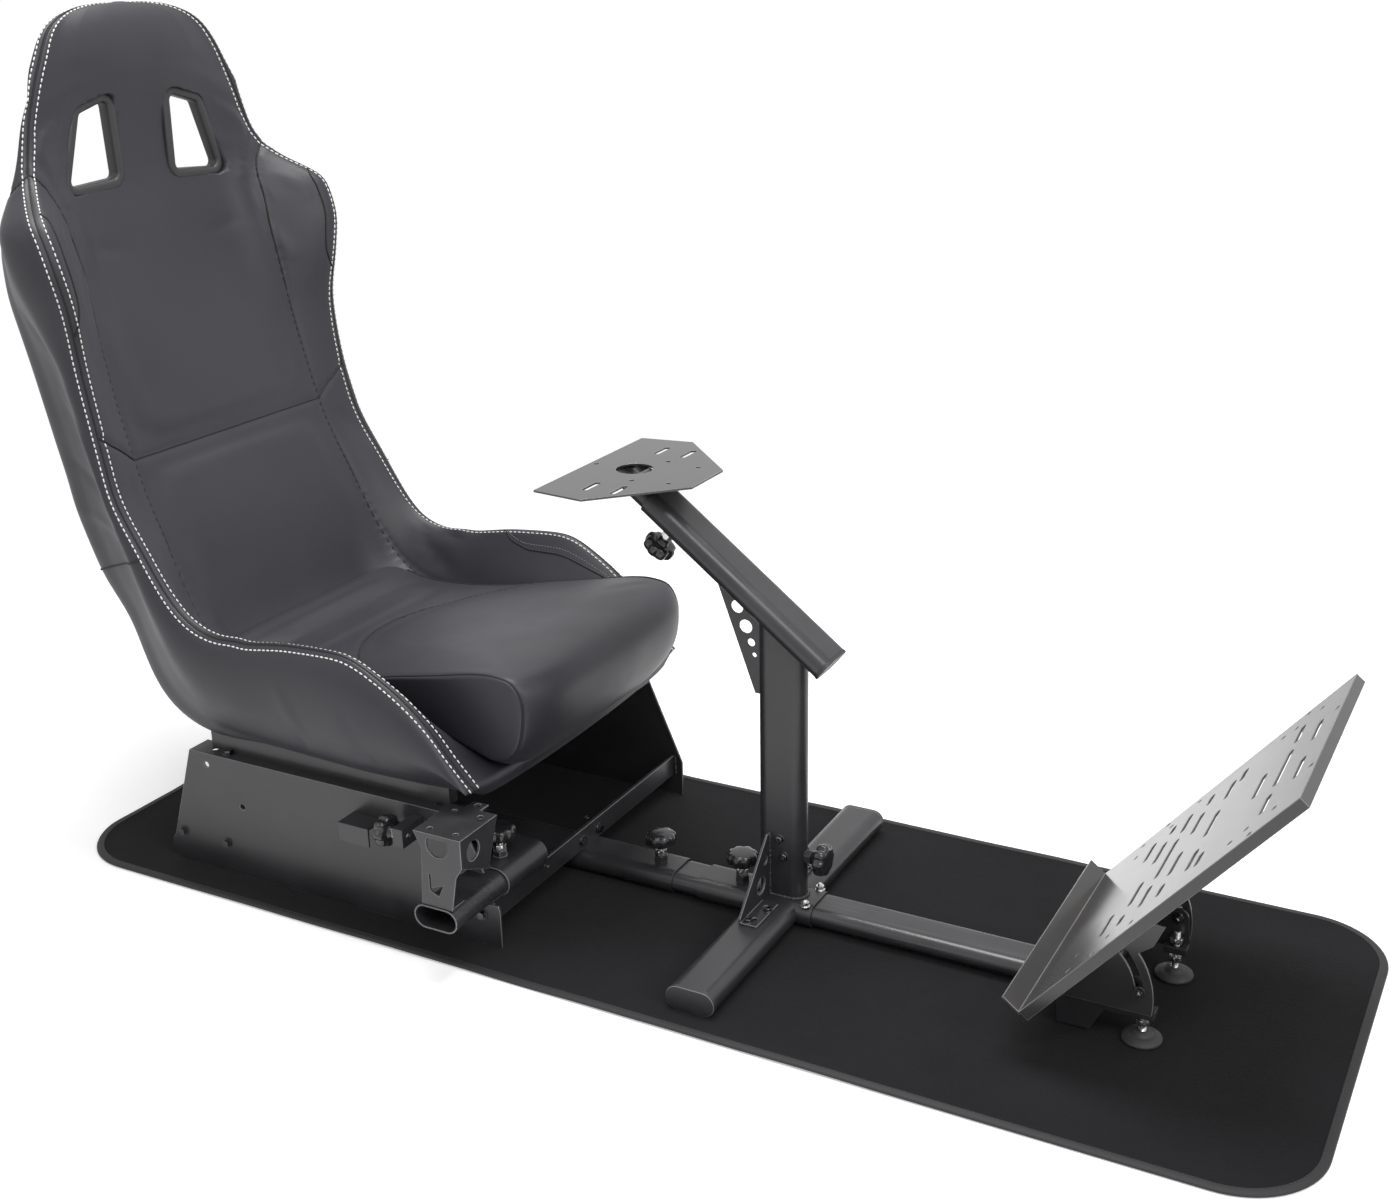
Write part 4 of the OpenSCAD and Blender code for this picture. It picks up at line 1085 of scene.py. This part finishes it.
def dressNode(label, node):
    mesh = node.data
    wearAndHighlight = label in frameFinish["wearAndHighlight"]
    name = mesh.materials[0].name if mesh.materials and mesh.materials[0] else "frame_steel"
    finish = frameFinish["finishes"].get(name.split(".")[0], blackCoat)
    mesh.materials.clear()
    mesh.materials.append(finish)
    # the second slot is the lighter coat, a painted highlight on the bevel faces
    if wearAndHighlight:
        mesh.materials.append(paintedHighlightCoat)
    if "custom_normal" in mesh.attributes:
        mesh.attributes.remove(mesh.attributes["custom_normal"])
    mesh.polygons.foreach_set("use_smooth", [True] * len(mesh.polygons))
    if node.hide_render:
        return
    weld = node.modifiers.new("weld", "WELD")
    weld.merge_threshold = weldGap * mm
    flat = node.modifiers.new("flatFaces", "DECIMATE")
    flat.decimate_type = "DISSOLVE"
    flat.angle_limit = math.radians(frameFinish["flatWithin"])
    bevel = node.modifiers.new("brokenEdges", "BEVEL")
    bevel.width = frameFinish["highlightEdge" if wearAndHighlight else "edge"] * mm
    bevel.material = 1 if wearAndHighlight else -1
    bevel.segments = 2
    bevel.limit_method = "ANGLE"
    bevel.angle_limit = math.radians(frameFinish["bevelFrom"])
    bevel.use_clamp_overlap = False
    bevel.harden_normals = False
    weighted = node.modifiers.new("evenShading", "WEIGHTED_NORMAL")
    weighted.keep_sharp = False


for label, node in cadNodes.items():
    dressNode(label, node)
print("frame dressed")


# rails under the seat
railShape = {"from": -582.0, "to": -212.0, "inner": 193.0, "outer": 209.0, "low": 169.0, "high": 197.5}


def makeRail(side):
    r = railShape
    below = r["low"] - 20  # only the upper corners stay round
    outline = roundedOutline([(r["inner"], below), (r["outer"], below), (r["outer"], r["high"]),
                              (r["inner"], r["high"])], 0, 3.0, 4)
    flat = [(side * y, max(z, r["low"])) for y, z in outline]
    loops = [[(x, y, z) for y, z in flat] for x in (r["from"], r["to"])]
    made = makePiece("seatRail" + sideWord(side), *stackLoops(loops), blackCoat, "seat_base",
                     slotName="frame_steel")
    cleanNormals(made, sharp=35)
    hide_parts("seat_rail_" + sideWord(side).lower())


for side in (-1, 1):
    makeRail(side)


# angle bar in front of the seat
crossbarShape = {
    # boxes: (low corner, high corner)
    "boxes": [
        ((-154.0, -223.0, 34.3), (-150.0, 223.0, 62.3)),        # upright with its thin top edge
        ((-180.0, -223.0, 34.3), (-152.0, 223.0, 38.3)),        # flange at the foot
        ((-180.0, -210.0, 58.3), (-152.0, -118.0, 62.3))],      # seat for the shifter's sleeve
    "edge": 0.8,
}


def boxShape(low, high):
    points = [(x, y, z) for x in (low[0], high[0]) for y in (low[1], high[1]) for z in (low[2], high[2])]
    return points, [(0, 1, 3, 2), (4, 6, 7, 5), (0, 4, 5, 1), (2, 3, 7, 6), (0, 2, 6, 4), (1, 5, 7, 3)]


def makeCrossbar():
    boxes = joinParts([boxShape(*box) for box in crossbarShape["boxes"]])
    made = makePiece("frontCrossbar", *boxes, blackCoat, "seat_base", slotName="frame_steel")
    # the bevel faces take the lighter coat: a painted highlight along the bar's edges
    made.data.materials.append(paintedHighlightCoat)
    cleanNormals(made)
    bevel = made.modifiers.new("brokenEdges", "BEVEL")
    bevel.width = crossbarShape["edge"] * mm
    bevel.segments = 3
    bevel.material = 1
    made.modifiers.new("evenShading", "WEIGHTED_NORMAL")
    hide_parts("front_crossbar")


makeCrossbar()


# star knobs
knobShape = {
    "lobes": 8,
    "lobeDepth": 0.13,
    "head": [(9.5, -0.6), (14.5, -0.4), (17.6, 0.2), (19.4, 1.6), (20.0, 4.0), (20.0, 9.0), (19.2, 12.0),
             (17.2, 13.8), (14.0, 14.6), (9.0, 15.1), (4.0, 15.3), (0.6, 15.35)],
    "collar": [(0.5, -6.0), (6.6, -6.0), (7.4, -5.4), (7.8, -3.0), (9.6, -1.0), (9.6, 0.4), (0.5, 0.4)],
    "stemRadius": 3.9,
    "threadPitch": 1.25,
    "nutHeight": 6.5,
    "nutRadius": 7.6,
    "crispFrom": 32,        # degrees from which an edge of a stem or nut stays crisp
}


def lobedRadius(a, r, z):
    grip = min(1.0, max(0.0, (r - 8) / 11.5)) ** 2
    dip = (0.5 - 0.5 * math.cos(knobShape["lobes"] * a)) ** 1.6
    return r * (1 - knobShape["lobeDepth"] * grip * dip)


def threadShape(radius, low, high, pitch, steps=24):
    # rings that stand for a cut thread
    profile, z = [(radius * 0.7, low)], low + 0.4
    while z < high - 0.6:
        profile += [(radius * 0.88, z), (radius, z + pitch * 0.35), (radius, z + pitch * 0.5),
                    (radius * 0.88, z + pitch * 0.85)]
        z += pitch
    profile.append((radius * 0.7, high))
    return latheShape(profile, steps)


def hexRadius(a, r):
    # radius of a hexagon with corners at r, in the direction a
    return r * math.cos(math.pi / 6) / math.cos((a + math.pi / 6) % (math.pi / 3) - math.pi / 6)


def hexShape(radius, low, high):
    # nut with its corners turned down at both ends
    turned = 0.12 * radius

    def flats(a, r, z):
        return min(hexRadius(a, r), radius * (0.91 + 0.09 * min(1.0, min(z - low, high - z) / turned)))
    profile = [(radius * 0.3, low), (radius * 0.9, low), (radius, low + 0.01), (radius, low + turned),
               (radius, high - turned), (radius, high - 0.01), (radius * 0.9, high), (radius * 0.3, high)]
    return latheShape(profile, 48, flats)


knobPlaces = {
    # knob node: (body, place of the head's underside, axis, stem length, height of its lock nut)
    "rear_spine_knob": ("rear_knob", (-46, 0, 58.4), (0, 0, 1), 26, -15.6),
    "stand_rear_knob": ("stand_knob", (69, 0, 58.4), (0, 0, 1), 26, -15.6),
    "post_knob": ("front_knob", (170.3, 0, 88), (1, 0, 0), 16.3, None),
    "arm_knob": ("tilt_knob", (-31.87, 0, 460.24), (-0.6088, 0, -0.7934), 26, -15.6),
    "shifter_knob": ("sleeve_knob", (-168, -175, 122.4), (0, 0, 1), 26.5, -15.6),
    "shifter_lock_knob": ("lock_knob", (-266, -255, 145), (-1, 0, 0), 26, -9.5),
}


def makeKnob(nodeName, body, place, axis, stemLength, nutAt):
    aim = aimMatrix(place, axis)
    head = movePoints(latheShape(knobShape["head"], 96, lobedRadius), aim)
    collar = movePoints(latheShape(knobShape["collar"], 40), aim)
    knob = makePiece(nodeName + "Head", *joinParts([head, collar]), knobPlastic, body,
                     slotName="knob_plastic")
    cleanNormals(knob)
    parts = [threadShape(knobShape["stemRadius"], -stemLength + 0.3, -5.5, knobShape["threadPitch"])]
    if nutAt is not None:
        parts.append(hexShape(knobShape["nutRadius"], nutAt, nutAt + knobShape["nutHeight"]))
    stem = makePiece(nodeName + "Stem", *movePoints(joinParts(parts), aim), zinc, body)
    cleanNormals(stem, sharp=knobShape["crispFrom"])
    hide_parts(nodeName)


for nodeName, facts in knobPlaces.items():
    makeKnob(nodeName, *facts)
print("knobs made")


# levelling feet of the pedal base
footShape = {
    "x": 585.0, "y": 70.0, "floor": 4.3,
    "pad": [(0.5, 0), (20.5, 0), (21.8, 1.0), (22, 2.4), (21.4, 4.2), (18.5, 5.2), (17.4, 6.6), (13.0, 7.4),
            (10.5, 8.2), (9.6, 11.5), (0.5, 11.5)],
    "stemRadius": 4.0,
    "stemTop": 62.0,
    "nuts": [(24.0, 30.6), (48.0, 54.5)],
}


def makeFoot(side):
    base = footShape["floor"]
    place = Matrix.Translation((footShape["x"], side * footShape["y"], base))
    label = sideWord(side)
    pad = makePiece("pedalFoot" + label, *movePoints(latheShape(footShape["pad"], 56), place), rubber,
                    "pedal_base", slotName="foot_rubber")
    cleanNormals(pad)
    stemLength = footShape["stemTop"] - base
    parts = [threadShape(footShape["stemRadius"], 11.0, stemLength, knobShape["threadPitch"])]
    parts += [hexShape(knobShape["nutRadius"], low - base, high - base) for low, high in footShape["nuts"]]
    stem = makePiece("pedalFootStem" + label, *movePoints(joinParts(parts), place), zinc, "pedal_base")
    cleanNormals(stem, sharp=knobShape["crispFrom"])
    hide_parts("pedal_foot_" + label.lower())


for side in (-1, 1):
    makeFoot(side)


# bolts, nuts and screws, by Geometry Nodes
def makeFastenerTree():
    # sets a copy of the prototype on every point, its length along the point's axis
    tree, given, result = newTree("fasteners", [
        ("Prototype", "NodeSocketObject", None), ("Size", "NodeSocketFloat", 1.0),
        ("Turn", "NodeSocketFloat", 0.6), ("Seed", "NodeSocketInt", 7),
        ("Finish", "NodeSocketMaterial", None)])
    axis = addNode(tree, "GeometryNodeInputNamedAttribute", {"Name": "axis"}, data_type="FLOAT_VECTOR")
    aim = addNode(tree, "FunctionNodeAlignRotationToVector", {"Vector": axis.outputs["Attribute"]}, axis="Z")
    spin = addNode(tree, "FunctionNodeRandomValue", {"Min": (0, 0, 0), "Seed": given.outputs["Seed"]},
                   data_type="FLOAT_VECTOR")
    most = addNode(tree, "ShaderNodeCombineXYZ", {"Z": given.outputs["Turn"]})
    tree.links.new(most.outputs[0], spin.inputs["Max"])
    turned = addNode(tree, "FunctionNodeRotateRotation", {
        "Rotation": aim.outputs["Rotation"], "Rotate By": spin.outputs["Value"]}, rotation_space="LOCAL")
    source = addNode(tree, "GeometryNodeObjectInfo", {"Object": given.outputs["Prototype"]})
    placed = addNode(tree, "GeometryNodeInstanceOnPoints", {
        "Points": given.outputs["Geometry"], "Instance": source.outputs["Geometry"],
        "Rotation": turned.outputs["Rotation"], "Scale": given.outputs["Size"]})
    real = addNode(tree, "GeometryNodeRealizeInstances", {"Geometry": placed.outputs["Instances"]})
    return endTree(tree, result, real.outputs["Geometry"], given.outputs["Finish"])


fastenerTree = makeFastenerTree()


def socketHead(radius, height):
    # round head with a hexagon recess
    recess = radius * 0.5
    outer = [(0.4, 0), (radius * 0.96, 0), (radius, 0.3), (radius, height - 0.9),
             (radius * 0.93, height - 0.25), (radius * 0.82, height)]
    inner = [(recess * 1.08, height), (recess, height - 0.3), (recess * 0.98, height * 0.4),
             (0.4, height * 0.4)]

    def recessed(a, r, z):
        if r > recess * 1.05 or z < height * 0.39 or r < 0.5:
            return r
        return hexRadius(a, r) * 1.08
    return latheShape(outer + inner, 36, recessed)


def washer(radius, hole, height, steps=32):
    profile = [(hole, 0), (radius - 0.3, 0), (radius, 0.3), (radius, height - 0.3), (radius - 0.3, height),
               (hole, height)]
    turns = [2 * math.pi * k / steps for k in range(steps)]
    return stackLoops([[(r * math.cos(a), r * math.sin(a), z) for a in turns] for r, z in profile],
                      capped=False)


def lifted(part, height):
    return movePoints(part, Matrix.Translation((0, 0, height)))


fastenerKinds = {
    # hexagon bolt on its washer, nut with the bolt's end through it, recessed screw with and without a washer
    "hexBolt": joinParts([washer(8.6, 4.2, 1.5), lifted(hexShape(6.6, 0, 4.8), 1.4)]),
    "nutAndEnd": joinParts([washer(7.6, 4.0, 1.3), lifted(hexShape(6.6, 0, 5.6), 1.2),
                            lifted(threadShape(3.6, 0, 5.4, 1.1, 20), 5.0)]),
    "socketScrew": joinParts([washer(7.0, 3.6, 1.1), lifted(socketHead(5.4, 4.2), 1.0)]),
    "smallScrew": socketHead(4.3, 3.0),
}
fastenerPlaces = {
    # (kind, finish, body): [(place, axis), ...]
    ("hexBolt", "blackZinc", "seat_base"): [
        ((-150, -20, 46.3), (1, 0, 0)), ((-150, 20, 46.3), (1, 0, 0)), ((-552, -214, 169), (0, 0, 1)),
        ((-552, 214, 169), (0, 0, 1)), ((-259, 223, 110), (0, -1, 0)), ((-259, -223, 110), (0, 1, 0)),
        ((-163, -226, 44), (0, -1, 0)), ((-163, 226, 44), (0, 1, 0)), ((-560, 226, 46), (0, 1, 0)),
        ((-577, -40, 48), (-1, 0, 0)), ((-577, 40, 48), (-1, 0, 0))],
    ("hexBolt", "blackCoat", "seat_base"): [
        ((-635, -226, 46), (0, -1, 0)), ((-635, 226, 46), (0, 1, 0)), ((-560, -226, 46), (0, -1, 0)),
        ((-330, -229, 128), (0, -1, 0)), ((-292, -229, 128), (0, -1, 0))],
    ("smallScrew", "blackZinc", "seat_base"): [((-161, 9, 62.3), (0, 0, 1))],
    ("socketScrew", "blackZinc", "wheel_stand"): [
        ((131, -57, 37.3), (0, 0, 1)), ((131, 57, 37.3), (0, 0, 1)), ((122, -90, 37.3), (0, 0, 1)),
        ((122, 90, 37.3), (0, 0, 1)), ((127, -15, 112), (0, -1, 0)), ((133, -15, 90), (0, -1, 0)),
        ((127, 15, 112), (0, 1, 0)), ((133, 15, 90), (0, 1, 0))],
    ("nutAndEnd", "zinc", "wheel_stand"): [((164, -22, 33.5), (0, 0, 1)), ((164, 22, 33.5), (0, 0, 1))],
    ("smallScrew", "zinc", "shifter_stand"): [
        ((-175, -299, 98.3), (0, 0, 1)), ((-156, -299, 98.3), (0, 0, 1))],
    ("smallScrew", "blackCoat", "shifter_stand"): [((-137, -252, 188.3), (0, 0, 1))],
    ("hexBolt", "blackZinc", "pedal_base"): [((500, -90, 60), (0, -1, 0)), ((500, 90, 60), (0, 1, 0))],
    ("nutAndEnd", "blackZinc", "pedal_base"): [
        ((582.7, -90, 74.6), (0, -1, 0)), ((582.7, 90, 74.6), (0, 1, 0)),
        ((582.7, -78, 74.6), (0, 1, 0)), ((582.7, 78, 74.6), (0, -1, 0))],
}
fastenerFinish = {
    "size": 0.82,           # of the shapes above
    "crispFrom": 30,
    "finishes": {"zinc": zinc, "blackZinc": blackZinc, "blackCoat": blackCoat},
}


def setFasteners():
    prototypes = {}
    for kind, part in fastenerKinds.items():
        prototypes[kind] = makePiece(kind + "Prototype", *part, zinc, None)
        cleanNormals(prototypes[kind], sharp=fastenerFinish["crispFrom"])
    count = 0
    for (kind, finish, body), places in fastenerPlaces.items():
        values = {"Prototype": prototypes[kind], "Finish": fastenerFinish["finishes"][finish],
                  "Size": fastenerFinish["size"]}
        growNodes(f"{kind}.{finish}.{body}", [p for p, axis in places], [], fastenerTree, values, body,
                  {"axis": [axis for p, axis in places]})
        count += len(places)
    for made in prototypes.values():
        bpy.data.objects.remove(made)
    print("fasteners set:", count)


setFasteners()


# weld beads, by Geometry Nodes
def weldSize(tree, given, rotation):
    # overlapping scales of uneven width
    vary = addNode(tree, "FunctionNodeRandomValue", {2: 0.85, 3: 1.15, "Seed": given["Seed"]},
                   data_type="FLOAT")
    wide = addNode(tree, "ShaderNodeMath", {0: given["Width"], 1: vary.outputs[1]}, operation="MULTIPLY")
    size = addNode(tree, "ShaderNodeCombineXYZ", {axis: wide.outputs[0] for axis in "XYZ"})
    return size.outputs[0], rotation


weldTree = makeBeadTree("weldBead", [
    ("Spacing", "NodeSocketFloat", 0.0024), ("Width", "NodeSocketFloat", 0.006),
    ("Seed", "NodeSocketInt", 3), ("Finish", "NodeSocketMaterial", None)], 10, 6, weldSize)


def ovalPath(width, height, steps=48):
    # closed outline of a flat oval tube, across and up
    r, straight = height / 2, (width - height) / 2
    out = []
    for k in range(steps):
        a = 2 * math.pi * k / steps
        out.append((math.copysign(straight, math.cos(a)) * min(1, abs(math.cos(a)) * 4) + r * math.cos(a),
                    r * math.sin(a)))
    return out


postFoot = [(126 + x, y, 34.8) for x, y in ovalPath(61, 31)]
weldPaths = {
    # (body, bead width): runs in mm, the first goes once round the post
    ("wheel_stand", 5.0): [
        postFoot + postFoot[:1], [(114, 15.5, z) for z in range(36, 116, 2)],
        [(114, -15.5, z) for z in range(36, 116, 2)], [(97, y, 34.6) for y in range(-15, 16, 3)]],
    ("seat_base", 4.5): [
        [(-148, 224, z) for z in range(36, 62, 2)], [(-148, -222.6, z) for z in range(36, 62, 2)],
        [(-200 + x, -122, 62.6) for x in range(0, 66, 3)]],
    ("pedal_base", 4.5): [[(501, y, 32.6) for y in range(-22, 23, 3)]],
}
beadOverlap = 0.45  # spacing of the beads as a share of their width


def layWelds():
    for (body, width), runs in weldPaths.items():
        growNodes("weldBeads." + body, *pathsToEdges(runs), weldTree,
                  {"Width": width * mm, "Spacing": beadOverlap * width * mm, "Finish": blackCoat}, body)


layWelds()


# floor mat
matShape = {
    "length": 1600.0, "width": 560.0, "corner": 95.0, "thickness": 4.0,
    "insets": [0.0, 0.5, 1.4, 2.6, 4.5, 7, 10, 14, 20, 28, 38, 50, 65, 82, 100, 122, 146, 172, 200, 230, 262],
    "roundedEdge": 2.6,     # inset over which the edge rounds off
    "wave": 1.7,            # how far the free edge lifts off the floor
    "lowShare": 0.85,       # how much of it the underside follows
    "waveReach": 27.0,
    "flatFrom": (380.0, 560.0),   # the waves die out here, before the travel of the pedal feet
}


def matOutline(inset, count=480):
    # rounded rectangle pulled in by inset, the same number of points every time
    a, b = matShape["length"] / 2 - inset, matShape["width"] / 2 - inset
    r = max(matShape["corner"] - inset, 6.0)
    r = min(r, b - 0.5)
    corners = [(a - r, b - r, 0), (-(a - r), b - r, 90), (-(a - r), -(b - r), 180), (a - r, -(b - r), 270)]
    outer = matShape["corner"]
    full = [2 * (matShape["length"] / 2 - outer), math.pi / 2 * outer, 2 * (matShape["width"] / 2 - outer)]
    total = 2 * (full[0] + full[2]) + 4 * full[1]
    nArc = max(8, int(round(count * full[1] / total)))
    nLong = int(round(count * full[0] / total))
    nShort = int(round(count * full[2] / total))
    points = []
    for k, (cx, cy, start) in enumerate(corners):
        for s in range(nArc):
            t = math.radians(start + 90 * s / nArc)
            points.append((cx + r * math.cos(t), cy + r * math.sin(t)))
        t = math.radians(start + 90)
        here = Vector((cx + r * math.cos(t), cy + r * math.sin(t)))
        nx, ny, nstart = corners[(k + 1) % 4]
        t = math.radians(nstart)
        there = Vector((nx + r * math.cos(t), ny + r * math.sin(t)))
        steps = nLong if k % 2 == 0 else nShort
        for s in range(steps):
            points.append(tuple(here.lerp(there, s / steps)))
    return points


def edgeLift(x, y, inset):
    # slow waves along the free edge, dying out inwards
    along = math.atan2(y * 2.4, x)
    wave = (0.55 + 0.25 * math.sin(9 * along + 0.7) + 0.20 * math.sin(17 * along + 2.1)
            + 0.12 * math.sin(31 * along + 0.4))
    fade = max(0.0, 1 - inset / matShape["waveReach"]) ** 2
    start, end = matShape["flatFrom"]
    fade *= min(1.0, max(0.0, (end - x) / (end - start)))
    return matShape["wave"] * max(0.0, wave) * fade


def makeMat():
    thickness = matShape["thickness"]
    top, low = [], []
    for inset in matShape["insets"]:
        outline = matOutline(inset)
        turn = min(1.0, inset / matShape["roundedEdge"])
        height = thickness * (0.5 + 0.5 * math.sqrt(max(0.0, 1 - (1 - turn) ** 2)))
        lifts = [edgeLift(x, y, inset) for x, y in outline]
        top.append([(x, y, height + lift) for (x, y), lift in zip(outline, lifts)])
        low.append([(x, y, (thickness - height) + matShape["lowShare"] * lift)
                    for (x, y), lift in zip(outline, lifts)])
    made = makePiece("floorMat", *stackLoops(list(reversed(low))[:-1] + top), carpet, "seat_base",
                     slotName="carpet")
    splitEnds(made)
    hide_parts("floor_mat")
    return made


bindingShape = {
    # (inset, height above the middle of the mat's edge): a tape folded over the edge, outside first
    "section": [(9.6, 2.0), (9.2, 2.55), (8.0, 2.70), (5.0, 2.75), (2.2, 2.55), (0.4, 1.75), (-0.6, 0.5),
                (-0.6, -0.6), (0.4, -1.45), (2.2, -1.85), (9.0, -1.95), (9.2, -1.2), (4.5, -0.6), (4.5, 1.0)],
    "stitchInset": 8.2,
    "stitchHeight": 2.75,
}


def makeBinding():
    middle = matShape["thickness"] / 2
    loops = []
    for inset, height in bindingShape["section"]:
        share = 1.0 if height > 0 else matShape["lowShare"]
        loops.append([(x, y, middle + height + share * edgeLift(x, y, max(inset, 0.0)))
                      for x, y in matOutline(inset)])
    tape = makePiece("matBinding", *stackLoops(loops, capped=False), bindingCloth, "seat_base",
                     slotName="carpet")
    cleanNormals(tape)
    inset, height = bindingShape["stitchInset"], bindingShape["stitchHeight"]
    row = [(x, y, middle + height + edgeLift(x, y, inset)) for x, y in matOutline(inset)]
    sewRow("bindingStitches", [row], darkThread, 4.4, 3.2, 0.9, closed=True)


floorMat = makeMat()
makeBinding()
print("mat", len(floorMat.data.polygons), "faces")


# camera, lights and floor
cameraPlace = {
    "place": (0.93483, -1.69899, 1.11271),
    "yaw": 118.58,
    "pitch": -20.38,
    "roll": -1.16,
    "lens": 45.32,
}


def makeCamera():
    yaw, pitch, roll = (math.radians(cameraPlace[k]) for k in ("yaw", "pitch", "roll"))
    forward = Vector((math.cos(pitch) * math.cos(yaw), math.cos(pitch) * math.sin(yaw), math.sin(pitch)))
    right = forward.cross(Vector((0, 0, 1))).normalized()
    up = right.cross(forward)
    rolledRight = right * math.cos(roll) + up * math.sin(roll)
    rolledUp = up * math.cos(roll) - right * math.sin(roll)
    data = bpy.data.cameras.new("camera")
    data.sensor_fit = "HORIZONTAL"
    data.sensor_width = 36
    data.lens = cameraPlace["lens"]
    data.clip_start, data.clip_end = 0.05, 60
    made = addObject("camera", data)
    turn = Matrix((rolledRight, rolledUp, -forward)).transposed().to_4x4()
    made.matrix_world = Matrix.Translation(cameraPlace["place"]) @ turn
    bpy.context.scene.camera = made


studio = {
    # name: (place, target, width, height, watts)
    "lamps": {
        "softboxAbove": ((-0.1, 0.3, 2.8), (-0.1, 0.0, 0.4), 2.0, 1.1, 74.0),
        "softboxFront": ((2.5, -0.9, 1.9), (0.0, 0.0, 0.4), 1.0, 1.2, 22.0),
        "softboxLeft": ((-1.9, -2.3, 1.9), (-0.4, 0.0, 0.5), 1.5, 1.5, 9.0),
        "stripRight": ((1.0, -1.3, 2.15), (0.1, 0.0, 0.4), 1.1, 0.30, 15.0)},
    "white": (1.0, 1.0, 1.0),
    "skyStrength": 0.45,
    "floorTone": (0.88, 0.88, 0.885),
    "floorGlow": 0.36,
    "floorFade": (1.1, 2.2),    # metres from the middle over which the floor turns to plain white
    "floorHalf": 9000,          # half the floor's width, in mm
    "floorHeight": -0.4,        # in mm, just under the mat
}


def makeLights():
    for name, (place, target, width, height, watts) in studio["lamps"].items():
        data = bpy.data.lights.new(name, "AREA")
        data.shape = "RECTANGLE"
        data.size, data.size_y, data.energy = width, height, watts
        lamp = addObject(name, data)
        lamp.location = place
        lamp.rotation_euler = (Vector(target) - Vector(place)).to_track_quat("-Z", "Y").to_euler()


def seesBackground(tree):
    # 1 for what the camera, a mirror or glass sees directly
    path = tree.nodes.new("ShaderNodeLightPath").outputs
    seen = path["Is Camera Ray"]
    for ray in ("Is Glossy Ray", "Is Transmission Ray"):
        seen = addNode(tree, "ShaderNodeMath", {0: seen, 1: path[ray]}, operation="MAXIMUM").outputs[0]
    return seen


def makeWorld():
    world = bpy.data.worlds.new("studio")
    bpy.context.scene.world = world
    world.use_nodes = True
    tree = world.node_tree
    tree.nodes.clear()
    seen, white = seesBackground(tree), studio["white"]
    light = addNode(tree, "ShaderNodeBackground", {"Color": white, "Strength": studio["skyStrength"]})
    shown = addNode(tree, "ShaderNodeBackground", {"Color": white, "Strength": 1.0})
    mix = addNode(tree, "ShaderNodeMixShader", {0: seen, 1: light.outputs[0], 2: shown.outputs[0]})
    output = tree.nodes.new("ShaderNodeOutputWorld")
    tree.links.new(mix.outputs[0], output.inputs["Surface"])


def makeFloor():
    made, tree, shader = newMaterial("studioFloor")
    coords = objectCoords(tree)
    dust = noiseFrom(tree, coords, 3.0, 3.0)
    tone = studio["floorTone"]
    setInput(tree, shader.inputs["Base Color"], mixColours(tree, dust, tuple(0.985 * c for c in tone), tone))
    setInputs(tree, shader, {"Roughness": 0.9, "Specular IOR Level": 0.1})
    seen = seesBackground(tree)
    strength = addNode(tree, "ShaderNodeMath", {0: seen, 1: studio["floorGlow"]}, operation="MULTIPLY")
    glow = addNode(tree, "ShaderNodeEmission", {"Color": studio["white"], "Strength": strength.outputs[0]})
    both = addNode(tree, "ShaderNodeAddShader", {0: shader.outputs["BSDF"], 1: glow.outputs[0]})
    far = addNode(tree, "ShaderNodeVectorMath", {0: coords}, operation="LENGTH").outputs["Value"]
    fade = mapRange(tree, far, 0.0, 1.0, *studio["floorFade"])
    shown = addNode(tree, "ShaderNodeMath", {0: fade, 1: seen}, operation="MULTIPLY").outputs[0]
    white = addNode(tree, "ShaderNodeEmission", {"Color": studio["white"], "Strength": 1.0})
    mix = addNode(tree, "ShaderNodeMixShader", {0: shown, 1: both.outputs[0], 2: white.outputs[0]})
    output = next(n for n in tree.nodes if n.type == "OUTPUT_MATERIAL")
    tree.links.new(mix.outputs[0], output.inputs["Surface"])
    half, height = studio["floorHalf"], studio["floorHeight"]
    corners = [(-half, -half, height), (half, -half, height), (half, half, height), (-half, half, height)]
    floor = makePiece("studioFloor", corners, [(0, 1, 2, 3)], made, None, smooth=False)


makeCamera()
makeLights()
makeWorld()
makeFloor()
bpy.context.scene.view_settings.view_transform = "Standard"
print("camera and studio ready")
